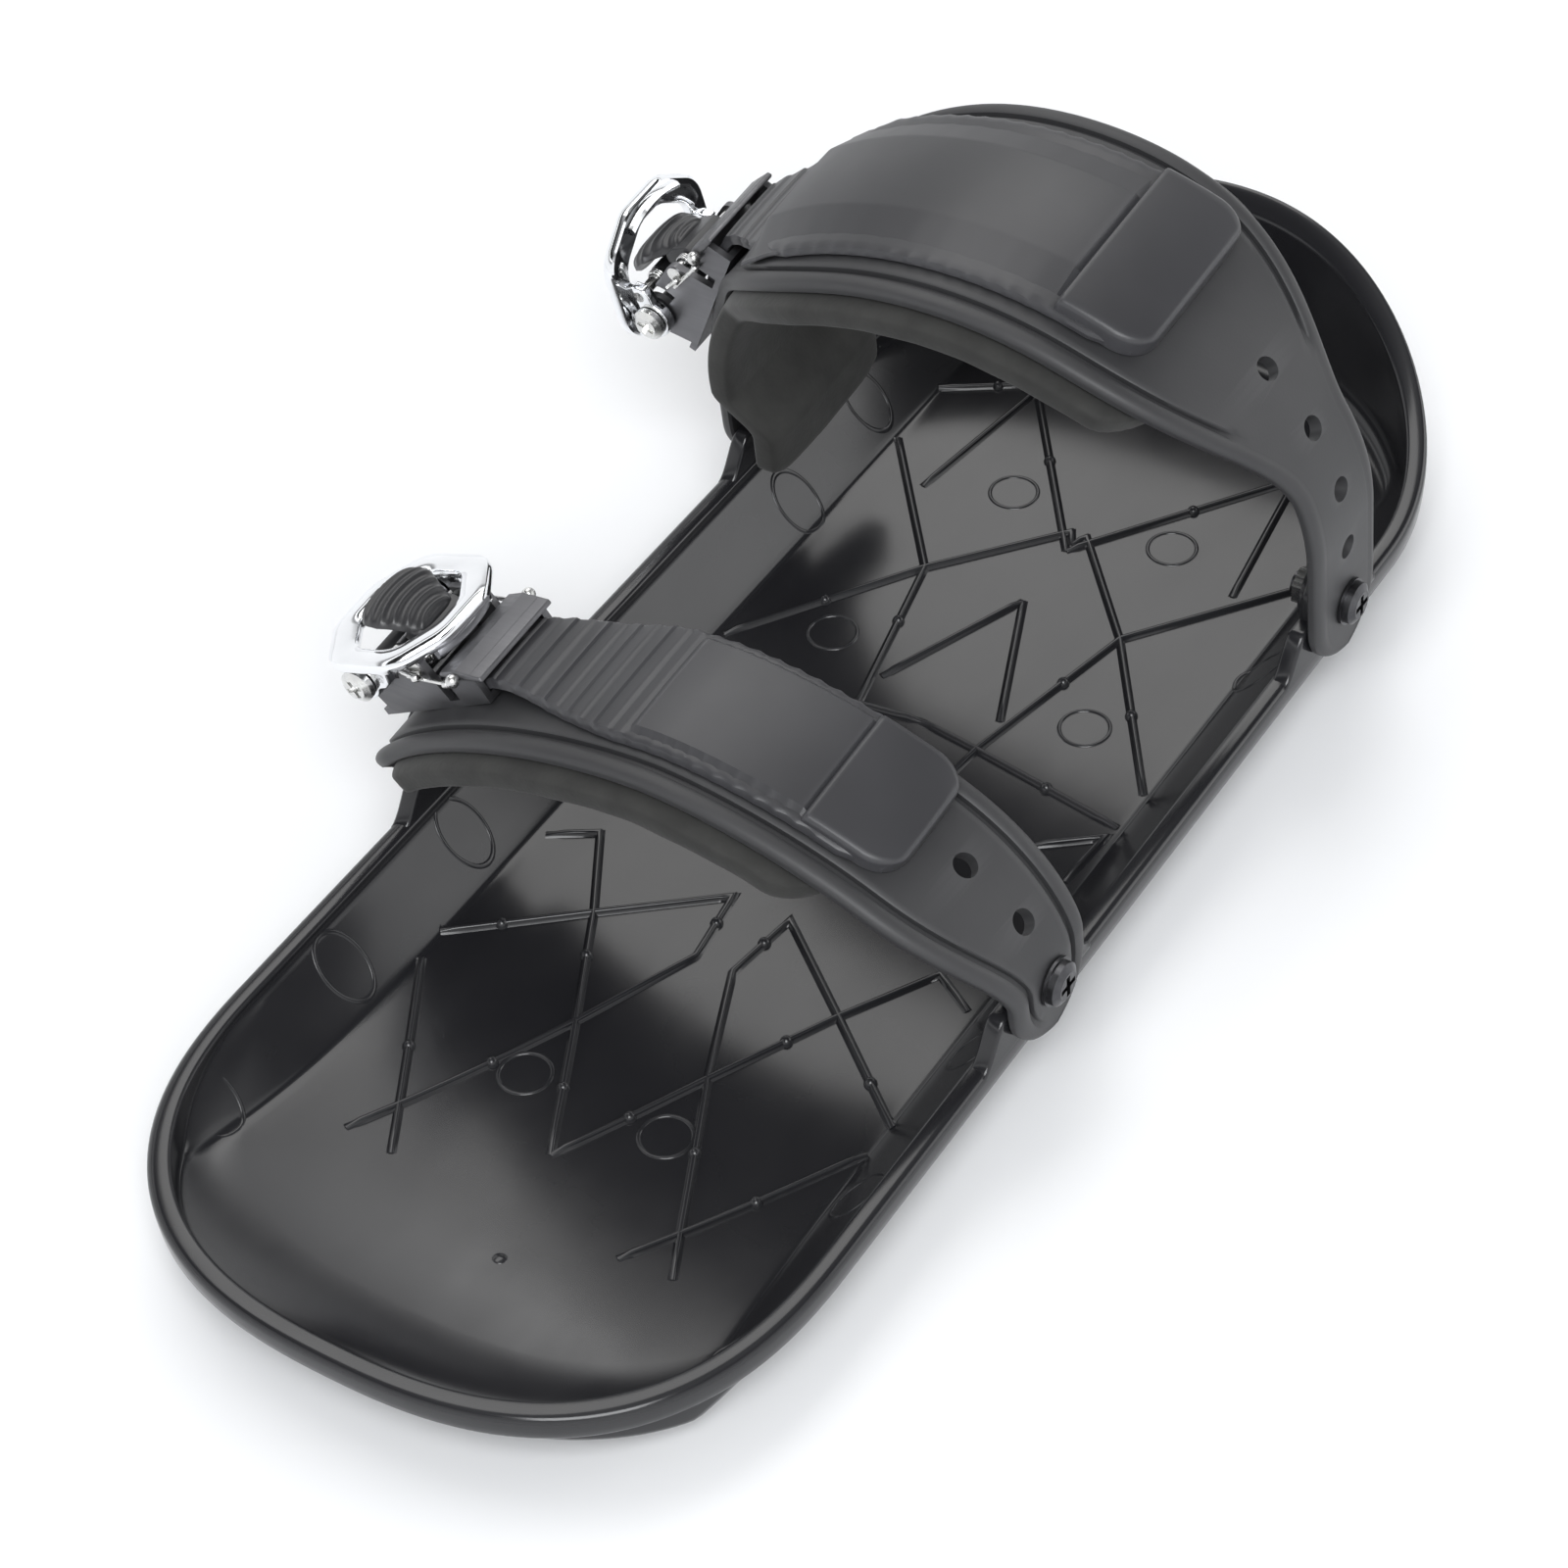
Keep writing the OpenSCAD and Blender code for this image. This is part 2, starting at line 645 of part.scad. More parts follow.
// ---- buckle frame: a floor under the ladder, two pivot ears and a hood over the ladder's entry ----

frame_in = ladder_w / 2 + 0.4;
frame_out = frame_in + frame_t;
lever_s = frame_len / 2;
ladder_crest = ladder_rise + ladder_t + tooth_h;
release_s = lever_s - 15;
release_n = ladder_crest + 5;
release_head_r = 2.2;
ear_head_r = 4.3;
hood_n = ladder_crest + 0.5;
hood_end = entry_s + 8.5;
hood_rise = 1.2;
guide_d = 2;
guide_s = entry_s + 4.4;
guide_n = hood_n + 0.3 + guide_d / 2;
rivet_d = 4;

module slab_y(width) {
    rotate([90, 0, 0]) linear_extrude(width, center = true) children();
}

module bore_y(radius, length) {
    rotate([90, 0, 0]) cylinder(r = radius, h = length, center = true, $fn = 40);
}

// Two round heads on one base, with an arc cut clear for the lever's drive pin
module pivot_ear() {
    slot_r = norm([drive_s, drive_n]);
    slot_half = pin_d / 2 + 0.45;
    difference() {
        hull() {
            translate([lever_s, lever_rise]) circle(r = ear_head_r, $fn = 32);
            translate([release_s, release_n]) circle(r = release_head_r, $fn = 32);
            translate([release_s - 3.4, 0]) square([lever_s - release_s + 5, floor_t]);
        }
        translate([lever_s, lever_rise]) intersection() {
            difference() {
                circle(r = slot_r + slot_half, $fn = 64);
                circle(r = slot_r - slot_half, $fn = 64);
            }
            polygon([[0, 0], [-20, -6], [-20, 20], [6, 20]]);
        }
    }
}

module hood_side() {
    polygon([[entry_s, 0], [hood_end, 0], [hood_end, hood_n + hood_rise],
        [hood_end - 2, hood_n + hood_rise + 1], [entry_s, hood_n + 1.4]]);
}

module buckle_frame(k) {
    color([0.14, 0.14, 0.15]) in_buckle(k) difference() {
        union() {
            for (side = [-1, 1]) {
                translate([0, side * (frame_in + frame_t / 2), 0]) slab_y(frame_t) union() {
                    pivot_ear();
                    hood_side();
                }
            }
            translate([entry_s, -frame_out + eps, 0])
                cube([lever_s + 4 - entry_s, 2 * frame_out - 2 * eps, floor_t]);
            slab_y(2 * frame_out - 2 * eps) polygon([[entry_s, hood_n], [hood_end, hood_n],
                [hood_end, hood_n + hood_rise], [hood_end - 2, hood_n + hood_rise + 1],
                [entry_s, hood_n + 1.4]]);
        }
        translate([lever_s, 0, lever_rise]) bore_y(bolt_d / 2 + run_fit, 4 * frame_out);
        translate([release_s, 0, release_n]) bore_y(pin_d / 2 + run_fit, 4 * frame_out);
        translate([guide_s, 0, guide_n]) bore_y(guide_d / 2 + run_fit, 4 * frame_out);
        cylinder(r = rivet_d / 2 + run_fit, h = 20, center = true, $fn = 40);
    }
}

// The rivet holds the frame's floor to the strap, under the ladder
rivet_head_d = 7.5;
rivet_head_t = 1.1;
rivet_sink = ladder_rise - floor_t - 0.1;
module frame_rivet(k) {
    color([0.7, 0.7, 0.72]) in_buckle(k) {
        translate([0, 0, -strap_t - rivet_head_t]) cylinder(d = rivet_head_d, h = rivet_head_t, $fn = 40);
        translate([0, 0, -strap_t - eps]) cylinder(d = rivet_d, h = strap_t + floor_t + rivet_sink, $fn = 40);
    }
}

// Hole in the strap for the rivet, with a flat seat for its head
module rivet_bore(k) {
    translate([seat_p(k)[0], 0, seat_p(k)[1]]) rotate([0, -seat_tilt(k), 0]) {
        cylinder(r = rivet_d / 2 + run_fit, h = 4 * strap_t, center = true, $fn = 40);
        translate([0, 0, -strap_t - 4]) cylinder(d = rivet_head_d + 0.6, h = 4, $fn = 48);
    }
}

module rivet_pocket(k) {
    translate([seat_p(k)[0], 0, seat_p(k)[1]]) rotate([0, -seat_tilt(k), 0])
        translate([0, 0, -strap_t - rivet_head_t - 0.5]) cylinder(d = rivet_head_d + 1, h = 6, $fn = 40);
}

// Cross pin with ball ends, through the hood
module guide_pin(k) {
    color([0.75, 0.75, 0.77]) in_buckle(k) translate([guide_s, 0, guide_n]) {
        bore_y(guide_d / 2, 2 * frame_out + 2.6);
        for (side = [-1, 1]) {
            translate([0, side * (frame_out + 1.5), 0]) sphere(d = guide_d + 1, $fn = 24);
        }
    }
}

// ---- lever: a flat ring over the buckle, with the bolt at its origin and X pointing down the strap ----

arm_in = frame_out + 0.4;
ring_half = arm_in + band_w;
ring_t = 3;
ring_front = ring_len * 0.3;
ring_back = ring_front - ring_len;
ring_n = 4.6;
ring_drop = 9;
lip_drop = 2;
corner = 11;
lug_t = 2.6;
drive_s = -6.5;
drive_n = 0.4;

function lever_open(k) = pick(k, toe_lever_open, ankle_lever_open);
module in_lever(k) {
    in_buckle(k) translate([lever_s, 0, lever_rise]) rotate([0, lever_open(k), 0]) children();
}

// Rounded six-sided outline of the ring, drawn in by a distance
module ring_plan(inset) {
    c = corner - inset * 0.4;
    x0 = ring_back + inset;
    x1 = ring_front - inset;
    y = ring_half - inset;
    polygon([[x0, -y + c], [x0 + c * 0.7, -y], [x1 - c * 0.7, -y], [x1, -y + c],
        [x1, y - c], [x1 - c * 0.7, y], [x0 + c * 0.7, y], [x0, y - c]]);
}

module lever(k) {
    color([0.85, 0.86, 0.88]) in_lever(k) difference() {
        union() {
            translate([0, 0, ring_n]) rotate([0, -ring_drop, 0]) difference() {
                linear_extrude(ring_t) ring_plan(0);
                translate([0, 0, -1]) linear_extrude(ring_t + 2) ring_plan(band_w);
            }
            for (side = [-1, 1]) {
                translate([0, side * (arm_in + lug_t / 2), 0]) slab_y(lug_t) hull() {
                    circle(r = bolt_d / 2 + 2.6, $fn = 32);
                    translate([drive_s, drive_n]) circle(r = pin_d / 2 + 1.6, $fn = 32);
                    translate([drive_s, ring_n - 1]) square([-drive_s + 3, 2.4]);
                }
            }
            translate([0, 0, ring_n]) rotate([0, -ring_drop, 0])
                translate([ring_back + 1, corner - ring_half, -lip_drop])
                    cube([2, 2 * (ring_half - corner), lip_drop + 1]);
        }
        bore_y(bolt_d / 2 + run_fit, 4 * ring_half);
        translate([drive_s, 0, drive_n]) bore_y(pin_d / 2 + run_fit, 4 * ring_half);
    }
}

bolt_end = arm_in + lug_t + 0.3;
module lever_bolt(k) {
    color([0.78, 0.78, 0.8]) in_buckle(k) translate([lever_s, 0, lever_rise]) rotate([90, 0, 0]) {
        translate([0, 0, -bolt_end - 0.3]) cylinder(d = bolt_d, h = 2 * bolt_end + 4, $fn = 48);
        mirror([0, 0, 1]) translate([0, 0, bolt_end]) pan_head(bolt_d + 3.6, 2.2);
    }
}

module lever_nut(k) {
    color([0.72, 0.72, 0.74]) in_buckle(k) translate([lever_s, 0, lever_rise]) rotate([90, 0, 0])
        translate([0, 0, bolt_end]) difference() {
            union() {
                cylinder(d = bolt_d + 4.4, h = 0.8, $fn = 48);
                cylinder(d = bolt_d + 3.8, h = 3.2, $fn = 6);
            }
            translate([0, 0, -1]) cylinder(r = bolt_d / 2 + run_fit, h = 6, $fn = 48);
        }
}

// ---- pawls: the lever's one drives the ladder, the release lever's one holds it ----

pawl_w = 13;
pawl_head_r = 2.2;

module drive_pawl(k) {
    color([0.3, 0.3, 0.32]) in_lever(k) difference() {
        slab_y(pawl_w) hull() {
            translate([drive_s, drive_n]) circle(r = pawl_head_r, $fn = 32);
            translate([drive_s + 2.5, ladder_crest - lever_rise + 1.6]) circle(r = 0.8, $fn = 32);
        }
        translate([drive_s, 0, drive_n]) bore_y(pin_d / 2 + run_fit, 4 * pawl_w);
    }
}

module drive_pin(k) {
    color([0.75, 0.75, 0.77]) in_lever(k) translate([drive_s, 0, drive_n])
        bore_y(pin_d / 2, 2 * (arm_in + lug_t));
}

// The thumb pad's neck and pad stay clear of the lever's ring and of its drive pawl at every angle
pad_reach = 10;
pad_rise = 9.8;
pad_r = 1.2;
pad_w = pawl_w + 1;
neck_w = pawl_w - 2;
module release_lever(k) {
    color([0.2, 0.2, 0.21]) in_buckle(k) translate([release_s, 0, release_n]) difference() {
        union() {
            slab_y(pawl_w) hull() {
                circle(r = release_head_r, $fn = 32);
                translate([4.6, ladder_crest + 1.2 - release_n]) circle(r = 0.8, $fn = 32);
            }
            slab_y(neck_w) hull() {
                circle(r = release_head_r, $fn = 32);
                translate([pad_reach / 3, pad_rise / 2]) circle(r = pad_r, $fn = 32);
            }
            slab_y(pad_w) hull() {
                translate([pad_reach / 3, pad_rise / 2]) circle(r = pad_r, $fn = 32);
                translate([pad_reach, pad_rise]) circle(r = pad_r, $fn = 32);
            }
        }
        bore_y(pin_d / 2 + run_fit, 4 * pawl_w);
    }
}

module release_pin(k) {
    color([0.8, 0.8, 0.78]) in_buckle(k) translate([release_s, 0, release_n]) {
        bore_y(pin_d / 2, 2 * frame_out + 0.4);
        for (side = [-1, 1]) {
            translate([0, side * (frame_out + 0.15), 0]) bore_y(pin_d / 2 + 0.5, 0.3);
        }
    }
}

// Torsion springs: a row of coils round each pin, beside the pawl
spring_wire = 0.6;
module spring_coils(bore_r) {
    for (i = [0 : 2]) {
        translate([0, pawl_w / 2 + 0.3 + spring_wire / 2 + i * (spring_wire - 0.05), 0]) rotate([90, 0, 0])
            rotate_extrude($fn = 40) translate([bore_r + spring_wire / 2, 0])
                circle(d = spring_wire, $fn = 16);
    }
}

module drive_spring(k) {
    color([0.8, 0.8, 0.82]) in_lever(k) translate([drive_s, 0, drive_n]) spring_coils(pin_d / 2 + 0.2);
}

module release_spring(k) {
    color([0.8, 0.8, 0.82]) in_buckle(k) translate([release_s, 0, release_n]) spring_coils(pin_d / 2 + 0.2);
}

deck();
strap_screws();
strap_washers();
strap_nuts();
strap(TOE);  // toe_strap
pad(TOE);  // toe_pad
ladder(TOE);  // toe_ladder
ladder_screw(TOE);  // toe_ladder_screw
buckle_frame(TOE);  // toe_buckle_frame
frame_rivet(TOE);  // toe_frame_rivet
guide_pin(TOE);  // toe_guide_pin
lever(TOE);  // toe_lever
lever_bolt(TOE);  // toe_lever_bolt
lever_nut(TOE);  // toe_lever_nut
drive_pawl(TOE);  // toe_drive_pawl
drive_pin(TOE);  // toe_drive_pin
drive_spring(TOE);  // toe_drive_spring
release_lever(TOE);  // toe_release_lever
release_pin(TOE);  // toe_release_pin
release_spring(TOE);  // toe_release_spring
strap(ANKLE);  // ankle_strap
pad(ANKLE);  // ankle_pad
ladder(ANKLE);  // ankle_ladder
ladder_screw(ANKLE);  // ankle_ladder_screw
buckle_frame(ANKLE);  // ankle_buckle_frame
frame_rivet(ANKLE);  // ankle_frame_rivet
guide_pin(ANKLE);  // ankle_guide_pin
lever(ANKLE);  // ankle_lever
lever_bolt(ANKLE);  // ankle_lever_bolt
lever_nut(ANKLE);  // ankle_lever_nut
drive_pawl(ANKLE);  // ankle_drive_pawl
drive_pin(ANKLE);  // ankle_drive_pin
drive_spring(ANKLE);  // ankle_drive_spring
release_lever(ANKLE);  // ankle_release_lever
release_pin(ANKLE);  // ankle_release_pin
release_spring(ANKLE);  // ankle_release_spring
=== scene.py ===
import math

import bmesh
import bpy
import numpy as np
from mathutils import Matrix, Quaternion, Vector


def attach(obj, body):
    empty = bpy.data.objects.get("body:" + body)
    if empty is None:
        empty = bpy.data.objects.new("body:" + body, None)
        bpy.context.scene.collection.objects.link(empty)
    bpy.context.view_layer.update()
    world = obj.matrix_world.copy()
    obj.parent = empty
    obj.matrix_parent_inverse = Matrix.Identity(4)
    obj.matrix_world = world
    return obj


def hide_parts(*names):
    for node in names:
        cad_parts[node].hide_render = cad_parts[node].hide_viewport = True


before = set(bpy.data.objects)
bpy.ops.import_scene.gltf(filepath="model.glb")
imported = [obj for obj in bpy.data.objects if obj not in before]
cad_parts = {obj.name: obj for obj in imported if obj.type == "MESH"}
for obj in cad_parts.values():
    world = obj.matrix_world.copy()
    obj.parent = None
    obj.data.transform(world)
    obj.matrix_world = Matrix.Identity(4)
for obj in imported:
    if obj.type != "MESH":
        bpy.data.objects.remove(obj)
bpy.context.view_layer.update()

# Sizes in millimetres, the same as the CAD part's
HALF_W, HULL_HALF, INNER_HALF, FLOOR_HALF = 71.75, 69.55, 67.15, 54.65
TOE_REACH, HEEL_REACH, TOE_ROUND, HEEL_ROUND = 181.5, 179.0, 69.0, 68.0
TOE_SQUARE, HEEL_SQUARE = 2.5, 2.12
TOE_START, TOE_ROCKER, TOE_LIFT = -89.5, 92.0, 13.0
HEEL_START, HEEL_ROCKER, HEEL_LIFT = 133.0, 46.0, 3.0
RIM_H, HEEL_RISE, SKIN = 20.0, 30.0, 3.8
LIP_W, LIP_H, LIP_OUT = 4.6, 6.0, 2.2
RIB_W, RIB_H, RING_D = 1.5, 1.1, 11.0
EAR_T, EAR_LEN, BOSS_R, HINGE_Z = 4.0, 42.0, 8.0, 30.0
SCREW_R, SPARE_R, HOLE_PITCH = 2.56, 2.7, 16.0
STRAP_OUT, STRAP_T, STEM_R, PAD_T, PAD_GAP = 75.25, 3.2, 13.0, 6.5, 0.15
LEVER_S, LEVER_N, RELEASE_S, RELEASE_N = 18.0, 11.0, 3.0, 10.7     # the bolt and the release pin, from the seat
TOE_MID, HEEL_MID = -TOE_REACH + TOE_ROUND, HEEL_REACH - HEEL_ROUND     # where the straight sides end

# The two bindings, in millimetres and degrees. The places tab, lift, seat and pad are angles along the arch from the
# right side (0) to the left (180), and tab_arc and cover_short are lengths of arch in the same degrees.
TOE = dict(
    name="toe", hinge_y=-41.8, lean=4, leg=3.0, b=39.0, n=1.7, front=23.0, rear=16.0, holes=2, leg_steps=3,
    flare={"left": ((-4, 16.8), (-4, 16.8)), "right": ((2, 29.4), (2, 29.4))}, groove_low=-8.0,
    tab=48, tab_arc=15, tab_high=3.9, lift=112, seat=140, open=0.0, toothed=38.0, wide_run=34.0,
    cover=32.0, cover_short=13, cover_shape=(3.2, 2.5, 3.8), pad=(50, 163), pad_blunt=1.6)
ANKLE = dict(
    name="ankle", hinge_y=83.0, lean=4, leg=20.0, b=60.0, n=2.0, front=33.0, rear=33.0, holes=4, leg_steps=6,
    flare={"left": ((36, 76), (44, 82.4)), "right": ((36, 76), (44, 82.4))}, groove_low=56.0,
    tab=60, tab_arc=14, tab_high=5.1, lift=138, seat=161, open=42.0, toothed=14.0, wide_run=26.0,
    cover=48.0, cover_short=2, cover_shape=(11.5, 1.7, 4.9), pad=(46, 180), pad_blunt=4.0)


# ---- materials

def nodes_of(name):
    """A new material with its node tree, its shader and object coordinates."""
    mat = bpy.data.materials.new(name)
    mat.use_nodes = True
    tree = mat.node_tree
    shader = tree.nodes["Principled BSDF"]
    place = tree.nodes.new("ShaderNodeTexCoord")
    return mat, tree, shader, place.outputs["Object"]


def noise(tree, place, size_mm, stretch=(1, 1, 1), detail=3.0):
    """Noise whose lumps are about size_mm across."""
    spread = tree.nodes.new("ShaderNodeMapping")
    spread.inputs["Scale"].default_value = stretch
    tree.links.new(place, spread.inputs["Vector"])
    lumps = tree.nodes.new("ShaderNodeTexNoise")
    lumps.inputs["Scale"].default_value = 1000.0 / size_mm
    lumps.inputs["Detail"].default_value = detail
    tree.links.new(spread.outputs["Vector"], lumps.inputs["Vector"])
    return lumps.outputs["Fac"]


def remap(tree, value, low, high, start=0.3, end=0.7):
    """The value's range from start to end, stretched to run from low to high."""
    node = tree.nodes.new("ShaderNodeMapRange")
    node.inputs["From Min"].default_value = start
    node.inputs["From Max"].default_value = end
    node.inputs["To Min"].default_value = low
    node.inputs["To Max"].default_value = high
    tree.links.new(value, node.inputs["Value"])
    return node.outputs["Result"]


def mix_colour(tree, factor, first, second):
    """A blend of two colours, each given as a tuple or a socket."""
    node = tree.nodes.new("ShaderNodeMix")
    node.data_type = "RGBA"
    tree.links.new(factor, node.inputs["Factor"])
    for socket, colour in (("A", first), ("B", second)):
        slot = [s for s in node.inputs if s.name == socket and s.type == "RGBA"][0]
        if isinstance(colour, tuple):
            slot.default_value = (*colour, 1.0)
        else:
            tree.links.new(colour, slot)
    return [s for s in node.outputs if s.type == "RGBA"][0]


def bump(tree, height, strength, distance_mm, below=None):
    """A bumped normal, laid over another one if there is one below."""
    node = tree.nodes.new("ShaderNodeBump")
    node.inputs["Strength"].default_value = strength
    node.inputs["Distance"].default_value = distance_mm / 1000.0
    tree.links.new(height, node.inputs["Height"])
    if below is not None:
        tree.links.new(below, node.inputs["Normal"])
    return node.outputs["Normal"]


def edge_wear_and_sheen(tree, amount):
    """A share that rises on convex edges, used to lighten them as rubbed wear and as a painted edge highlight."""
    point = tree.nodes.new("ShaderNodeNewGeometry")
    return remap(tree, point.outputs["Pointiness"], 0.0, amount, 0.52, 0.60)


GRAIN_MM = 0.5


def moulded_plastic(name, dark, light, rough, grain):
    """Moulded plastic: cloudy colour, fine spark-eroded grain, faint scuffs, and convex edges lightened as rubbed wear
    and as a painted highlight.
    """
    mat, tree, shader, place = nodes_of(name)
    cloud = noise(tree, place, 34, detail=4)
    colour = mix_colour(tree, remap(tree, cloud, 0, 1), dark, light)
    # Convex edges get a lighter colour: partly rubbed wear, partly a painted edge highlight
    worn_and_sheen = tuple(min(1.0, 1.7 * c + 0.012) for c in light)
    colour = mix_colour(tree, edge_wear_and_sheen(tree, 0.5), colour, worn_and_sheen)
    tree.links.new(colour, shader.inputs["Base Color"])
    scuff = noise(tree, place, 12.0, stretch=(1.0, 0.6, 1.0), detail=3)
    tree.links.new(remap(tree, scuff, rough - 0.02, rough + 0.02), shader.inputs["Roughness"])
    fine = bump(tree, noise(tree, place, GRAIN_MM, detail=2), grain, 0.05)
    wave = bump(tree, noise(tree, place, 40, detail=0), 0.2, 0.25, fine)
    tree.links.new(wave, shader.inputs["Normal"])
    shader.inputs["Specular IOR Level"].default_value = 0.5
    return mat


PEBBLE_MM = 0.9


def foam_skin(name, dark, light):
    """Closed-cell foam with a soft pebbled skin."""
    mat, tree, shader, place = nodes_of(name)
    colour = mix_colour(tree, remap(tree, noise(tree, place, 9, detail=5), 0, 1), dark, light)
    tree.links.new(colour, shader.inputs["Base Color"])
    tree.links.new(remap(tree, noise(tree, place, 5), 0.72, 0.9), shader.inputs["Roughness"])
    cells = tree.nodes.new("ShaderNodeTexVoronoi")
    cells.inputs["Scale"].default_value = 1000.0 / PEBBLE_MM
    tree.links.new(place, cells.inputs["Vector"])
    pebble = bump(tree, cells.outputs["Distance"], 0.35, 0.10)
    tree.links.new(bump(tree, noise(tree, place, 12), 0.4, 0.5, pebble), shader.inputs["Normal"])
    shader.inputs["Sheen Weight"].default_value = 0.12
    shader.inputs["Sheen Roughness"].default_value = 0.5
    shader.inputs["Specular IOR Level"].default_value = 0.3
    return mat


def plated_metal(name, dark, light, low, high, lumps_mm, scratch):
    """Plated, painted or bare metal: cloudy colour, hairline scratches and a roughness from low to high."""
    mat, tree, shader, place = nodes_of(name)
    colour = mix_colour(tree, remap(tree, noise(tree, place, lumps_mm), 0, 1), dark, light)
    tree.links.new(colour, shader.inputs["Base Color"])
    shader.inputs["Metallic"].default_value = 1.0
    hair = noise(tree, place, 1.2, stretch=(0.08, 1.8, 1.0), detail=5)
    tree.links.new(remap(tree, hair, low, high), shader.inputs["Roughness"])
    fine = bump(tree, hair, scratch, 0.02)
    tree.links.new(bump(tree, noise(tree, place, 7, detail=1), 0.2, 0.05, fine), shader.inputs["Normal"])
    return mat


def paper_floor():
    """Matt white paper under the object."""
    mat, tree, shader, place = nodes_of("floor_paper")
    colour = mix_colour(tree, remap(tree, noise(tree, place, 300), 0, 1), (0.88, 0.885, 0.90), (0.90, 0.905, 0.915))
    tree.links.new(colour, shader.inputs["Base Color"])
    tree.links.new(bump(tree, noise(tree, place, 1.5), 0.1, 0.05), shader.inputs["Normal"])
    shader.inputs["Roughness"].default_value = 0.9
    shader.inputs["Specular IOR Level"].default_value = 0.1
    return mat


def make_materials():
    """One material for each slot."""
    return {
        "deck": moulded_plastic("deck_plastic", (0.013, 0.013, 0.015), (0.018, 0.018, 0.020), 0.18, 0.05),
        "strap": moulded_plastic("strap_plastic", (0.026, 0.026, 0.028), (0.036, 0.036, 0.038), 0.50, 0.35),
        "ladder": moulded_plastic("ladder_plastic", (0.029, 0.029, 0.032), (0.038, 0.038, 0.042), 0.38, 0.25),
        "release": moulded_plastic("release_plastic", (0.020, 0.020, 0.022), (0.032, 0.032, 0.034), 0.34, 0.2),
        "frame": plated_metal("frame_paint", (0.13, 0.13, 0.135), (0.19, 0.19, 0.20), 0.38, 0.52, 20, 0.2),
        "pad": foam_skin("pad_foam", (0.024, 0.024, 0.023), (0.036, 0.036, 0.034)),
        "lever": plated_metal("lever_chrome", (0.84, 0.85, 0.87), (0.92, 0.93, 0.95), 0.05, 0.13, 16, 0.05),
        "hardware": plated_metal("zinc_steel", (0.62, 0.62, 0.62), (0.80, 0.80, 0.78), 0.18, 0.34, 5, 0.2),
        "screw": plated_metal("black_oxide", (0.055, 0.055, 0.06), (0.11, 0.11, 0.115), 0.28, 0.45, 4, 0.2),
        "pawl": plated_metal("dark_steel", (0.14, 0.14, 0.15), (0.22, 0.22, 0.23), 0.3, 0.45, 5, 0.2),
    }


# ---- mesh helpers

MERGE = 1e-6                                    # metres; points closer than this are one


def shade_smooth(mesh, sharp):
    """Smooth shading, but for edges that turn by more than sharp degrees."""
    mesh.polygons.foreach_set("use_smooth", [True] * len(mesh.polygons))
    mesh.set_sharp_from_angle(angle=math.radians(sharp))


def add_piece(name, points, faces, slot, body, sharp=38.0):
    """Makes a mesh object from points in millimetres, in the row frame, and puts it on its body."""
    mesh = bpy.data.meshes.new(name)
    mesh.from_pydata((np.asarray(points, float) * 0.001).tolist(), [], [list(map(int, f)) for f in faces])
    made = bmesh.new()
    made.from_mesh(mesh)
    bmesh.ops.remove_doubles(made, verts=made.verts, dist=MERGE)
    bmesh.ops.dissolve_degenerate(made, edges=made.edges, dist=MERGE)
    bmesh.ops.recalc_face_normals(made, faces=made.faces)
    made.to_mesh(mesh)
    made.free()
    shade_smooth(mesh, sharp)
    piece = bpy.data.objects.new(name, mesh)
    bpy.context.scene.collection.objects.link(piece)
    piece.data.materials.append(MATERIALS[slot])
    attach(piece, body)
    return piece


def add_to(k, ending, skin, slot, body="strap", sharp=38.0):
    """Adds a skin of (points, faces) to one of a binding's bodies, named after the binding."""
    return add_piece(k["name"] + "_" + ending, *skin, slot, k["name"] + "_" + body + "_body", sharp)


def join(parts):
    """Puts several (points, faces) lists into one."""
    points, faces, start = [], [], 0
    for p, f in parts:
        p = np.asarray(p, float)
        points.append(p)
        faces += [[i + start for i in face] for face in f]
        start += len(p)
    return np.vstack(points), faces


def tube_faces(rows, cols, caps=True):
    """Quads round a loft of rows closed sections with cols points each."""
    faces = [[i * cols + j, i * cols + (j + 1) % cols, (i + 1) * cols + (j + 1) % cols, (i + 1) * cols + j]
             for i in range(rows - 1) for j in range(cols)]
    if caps:
        faces += [list(range(cols))[::-1], [(rows - 1) * cols + j for j in range(cols)]]
    return faces


def loft(sections):
    """A closed skin over a run of closed sections, with a cap at each end."""
    sections = np.asarray(sections, float)
    return sections.reshape(-1, 3), tube_faces(len(sections), sections.shape[1])


def hoop_faces(stations, cols):
    """Quads of a closed section with cols points, swept round a closed path of stations."""
    return [[i * cols + j, (i + 1) % stations * cols + j,
             (i + 1) % stations * cols + (j + 1) % cols, i * cols + (j + 1) % cols]
            for i in range(stations) for j in range(cols)]


def round_angles(count):
    """Evenly spaced angles round a full circle."""
    return np.linspace(0, 2 * math.pi, count, endpoint=False)


def ease(t):
    """A smooth step from 0 to 1."""
    return t * t * (3 - 2 * t)


def running_length(line):
    """The distance along a polyline at each of its points."""
    return np.r_[0, np.cumsum(np.linalg.norm(np.diff(line, axis=0), axis=1))]


def unit(rows):
    """Each row scaled to length 1."""
    return rows / np.maximum(np.linalg.norm(rows, axis=1, keepdims=True), 1e-9)


def resample(line, step):
    """Points spaced evenly along an open polyline."""
    line = np.asarray(line, float)
    run = running_length(line)
    count = max(2, int(round(run[-1] / step)) + 1)
    at = np.linspace(0, run[-1], count)
    return np.stack([np.interp(at, run, line[:, i]) for i in range(line.shape[1])], axis=1)


